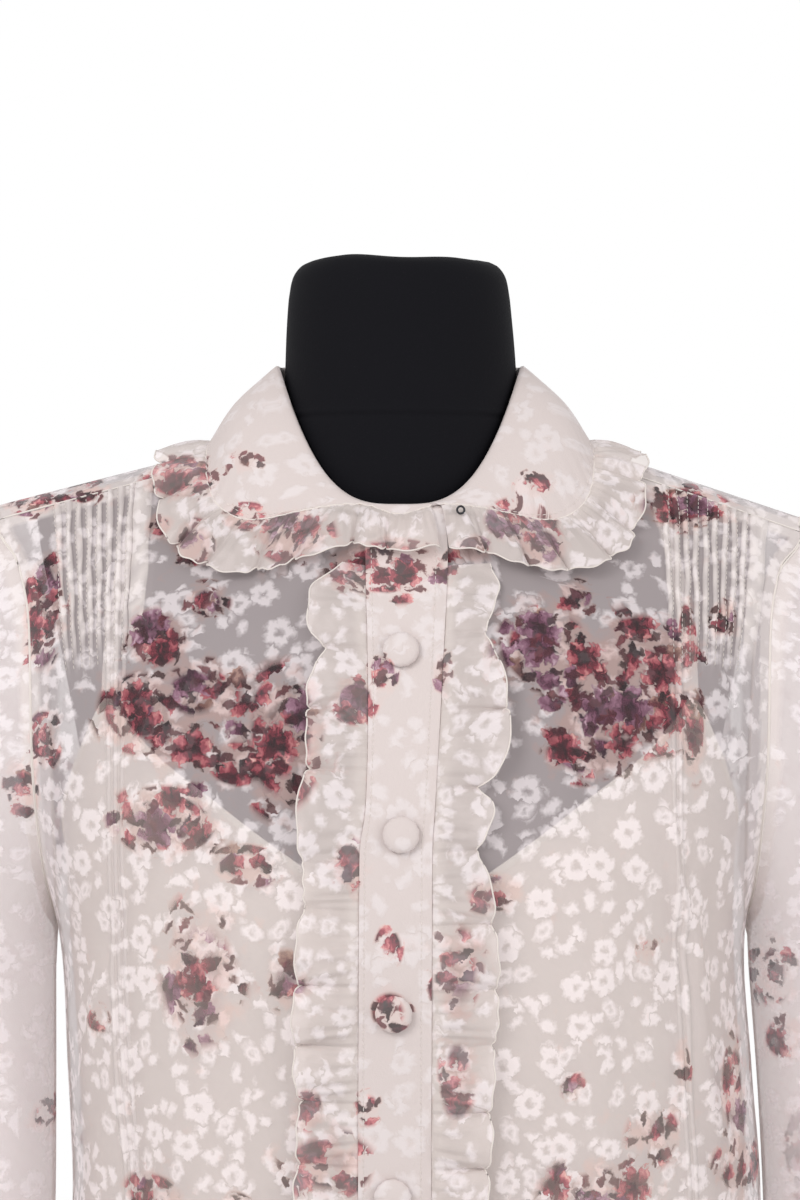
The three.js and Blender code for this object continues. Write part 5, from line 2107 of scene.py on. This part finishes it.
def form_torso():
    """The torso's points, quads and foot: level rings, then rings that close over the shoulders."""
    share = np.sin(np.linspace(-QUARTER, QUARTER, FORM_ACROSS + 1))
    share = np.sign(share) * np.abs(share) ** (2 / PLUMP)
    share = np.concatenate([share, share[1:-1][::-1]])
    face = np.concatenate([np.ones(FORM_ACROSS + 1), -np.ones(FORM_ACROSS - 1)])

    def ring(level, v):
        x = share * float(FORM_SHAPE.half(level))
        roll = np.zeros_like(x)
        for _ in range(8):
            roll = FORM_SHAPE.roll(x, level) * (1 - v)
            x = share * FORM_SHAPE.half(FORM_SHAPE.height(x, roll))
        point = FORM_SHAPE.point(x, roll)
        behind = FORM_SHAPE.back(point[:, 2]) / FORM_SHAPE.front(point[:, 2])
        point[:, 1] *= np.where(face > 0, 1, -behind)
        if v == 1:
            point[:, 1] = 0
        return point

    rings = [ring(float(level), 0.0) for level in np.arange(0, CHEST, FORM_STEP)]
    rings += [ring(float(CHEST), float(v)) for v in np.linspace(0, 1, FORM_CAP_RINGS)]
    points = np.array(rings).reshape(-1, 3)
    wide = len(share)
    first = np.arange(wide)
    fan = np.stack([np.roll(first, -1), first, np.full(wide, len(points))], axis=-1)
    return np.concatenate([points, [[0, 0, 0]]]), ring_faces(len(rings), wide), fan


# The heights of the neck block's rings, closer at its seam and top, and the seam's groove and welt
NECK_LEVELS = ((640, 708, 6), (708, 718, 0.8), (720, 780, 5), (782, FORM_TOP, 1))
NECK_GROOVE = 713
NECK_WELT = 716


def form_neck():
    """The neck block: a turned solid with a seam round it and a slightly uneven top."""
    radius = curve_of(NECK_PROFILE, 0, 1)
    profile = []
    for z in np.concatenate([np.arange(*levels) for levels in NECK_LEVELS]):
        groove = 0.55 * math.exp(-((z - NECK_GROOVE) ** 2))
        welt = 0.35 * math.exp(-(((z - NECK_WELT) / 1.2) ** 2))
        profile.append((float(radius(z)) - groove + welt, float(z)))
    profile += [(40, FORM_TOP), (20, FORM_TOP + 0.2), (0.01, FORM_TOP + 0.3)]
    points, faces = lathe(profile, 96)
    angle = np.arctan2(points[:, 1], points[:, 0])
    top = smoothstep(points[:, 2], 770, FORM_TOP)
    points[:, 2] += top * (0.9 * np.sin(angle * 2 + 0.6) + 0.5 * np.sin(angle * 5) - 0.9)
    slack = 0.4 * np.sin(angle * 3 + points[:, 2] / 16) * smoothstep(points[:, 2], 700, 740)
    points[:, :2] *= (1 + slack / 60)[:, None]
    return points, faces


class BLOUSE_OT_form(bpy.types.Operator):
    """Make the jersey-covered dress form"""

    bl_idname = "blouse.form"
    bl_label = "Dress form"

    def execute(self, context):
        torso, quads, fan = form_torso()
        neck, neck_quads = form_neck()
        points = np.concatenate([torso, neck])
        faces = quads.tolist() + fan.tolist() + (neck_quads + len(torso)).tolist()
        piece = make_piece("dress_form", points, faces, "jersey", crease=WALL_CREASE)
        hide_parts("form")
        return {"FINISHED"}


# The stage, in metres, but for the camera's sensor in millimetres

FLOOR_RADIUS = 2.1
FLOOR_GREY = (0.78, 0.78, 0.78, 1)
SENSOR = 36
CHEST_AHEAD = 0.07
LIT_PLACE = (0, 0, 0.55)


class BLOUSE_OT_stage(bpy.types.Operator):
    """Make the floor, the light and the camera"""

    bl_idname = "blouse.stage"
    bl_label = "Stage"

    def execute(self, context):
        scene = context.scene
        settings = scene.blouse_stage
        bpy.ops.mesh.primitive_circle_add(vertices=96, radius=FLOOR_RADIUS, fill_type="NGON")
        floor = context.object
        floor.name = "floor"
        paint = Finish(bpy.data.materials.new("floor_paint"))
        paint.feed("Base Color", FLOOR_GREY)
        paint.feed("Roughness", 0.9)
        floor.data.materials.append(paint.owner)

        self.add_surround(scene, settings.surround)
        self.add_light("key", (-1.5, -2.1, 1.9), 1.3, settings.light)
        self.add_light("fill", (1.9, -1.8, 1.2), 1.8, settings.light * 0.55)

        camera = bpy.data.cameras.new("camera")
        camera.sensor_width = SENSOR
        camera.lens = SENSOR * (settings.distance - CHEST_AHEAD) / settings.frame_height
        camera.clip_start = 0.01
        stand = bpy.data.objects.new("camera", camera)
        stand.location = (0, -settings.distance, settings.height)
        stand.rotation_euler = (QUARTER, 0, 0)
        scene.collection.objects.link(stand)
        scene.camera = stand
        scene.view_settings.view_transform = "Standard"
        scene.view_settings.look = "None"
        return {"FINISHED"}

    def add_surround(self, scene, surround):
        """A white wall behind the form, and a softer light from everywhere else."""
        sky = Finish(bpy.data.worlds.new("studio"), "BACKGROUND")
        scene.world = sky.owner
        way = sky.node("ShaderNodeTexCoord", output="Generated")
        ahead = sky.node("ShaderNodeSeparateXYZ", inputs={0: way}, output="Y")
        settings = {"interpolation_type": "SMOOTHSTEP"}
        inputs = {
            "Value": ahead, "From Min": 0.55, "From Max": 0.85, "To Min": surround, "To Max": 1.0,
        }
        sky.feed("Strength", sky.node("ShaderNodeMapRange", settings, inputs))
        sky.feed("Color", (1, 1, 1, 1))

    def add_light(self, name, place, size, power):
        """A square soft light that faces the chest."""
        lamp = bpy.data.lights.new(name, "AREA")
        lamp.energy = power
        lamp.size = size
        stand = bpy.data.objects.new(name, lamp)
        stand.location = place
        aim = Vector(LIT_PLACE) - Vector(place)
        stand.rotation_euler = aim.to_track_quat("-Z", "Y").to_euler()
        bpy.context.scene.collection.objects.link(stand)


OPERATORS = [
    BLOUSE_OT_finishes,
    BLOUSE_OT_form,
    BLOUSE_OT_lining,
    BLOUSE_OT_fronts,
    BLOUSE_OT_back,
    BLOUSE_OT_sleeves,
    BLOUSE_OT_placket,
    BLOUSE_OT_frills,
    BLOUSE_OT_collar,
    BLOUSE_OT_buttons,
    BLOUSE_OT_stage,
]


class BLOUSE_PT_panel(bpy.types.Panel):
    """The blouse's pieces and settings"""

    bl_idname = "BLOUSE_PT_panel"
    bl_label = "Blouse"
    bl_space_type = "VIEW_3D"
    bl_region_type = "UI"
    bl_category = "Blouse"

    def draw(self, context):
        scene = context.scene
        for group in (scene.blouse_cloth, scene.blouse_frills, scene.blouse_stage):
            for name in group.__annotations__:
                self.layout.prop(group, name)
        for operator in OPERATORS:
            self.layout.operator(operator.bl_idname)


CLASSES = [ClothSettings, FrillSettings, StageSettings, *OPERATORS, BLOUSE_PT_panel]


def register():
    """Add the classes and the scene's settings."""
    for item in CLASSES:
        bpy.utils.register_class(item)
    bpy.types.Scene.blouse_cloth = bpy.props.PointerProperty(type=ClothSettings)
    bpy.types.Scene.blouse_frills = bpy.props.PointerProperty(type=FrillSettings)
    bpy.types.Scene.blouse_stage = bpy.props.PointerProperty(type=StageSettings)


def unregister():
    """Remove the classes and the scene's settings."""
    del bpy.types.Scene.blouse_cloth
    del bpy.types.Scene.blouse_frills
    del bpy.types.Scene.blouse_stage
    for item in reversed(CLASSES):
        bpy.utils.unregister_class(item)


def main():
    """Register the classes and build every piece in order."""
    register()
    for operator in OPERATORS:
        group, name = operator.bl_idname.split(".")
        getattr(getattr(bpy.ops, group), name)()


if __name__ == "__main__":
    main()
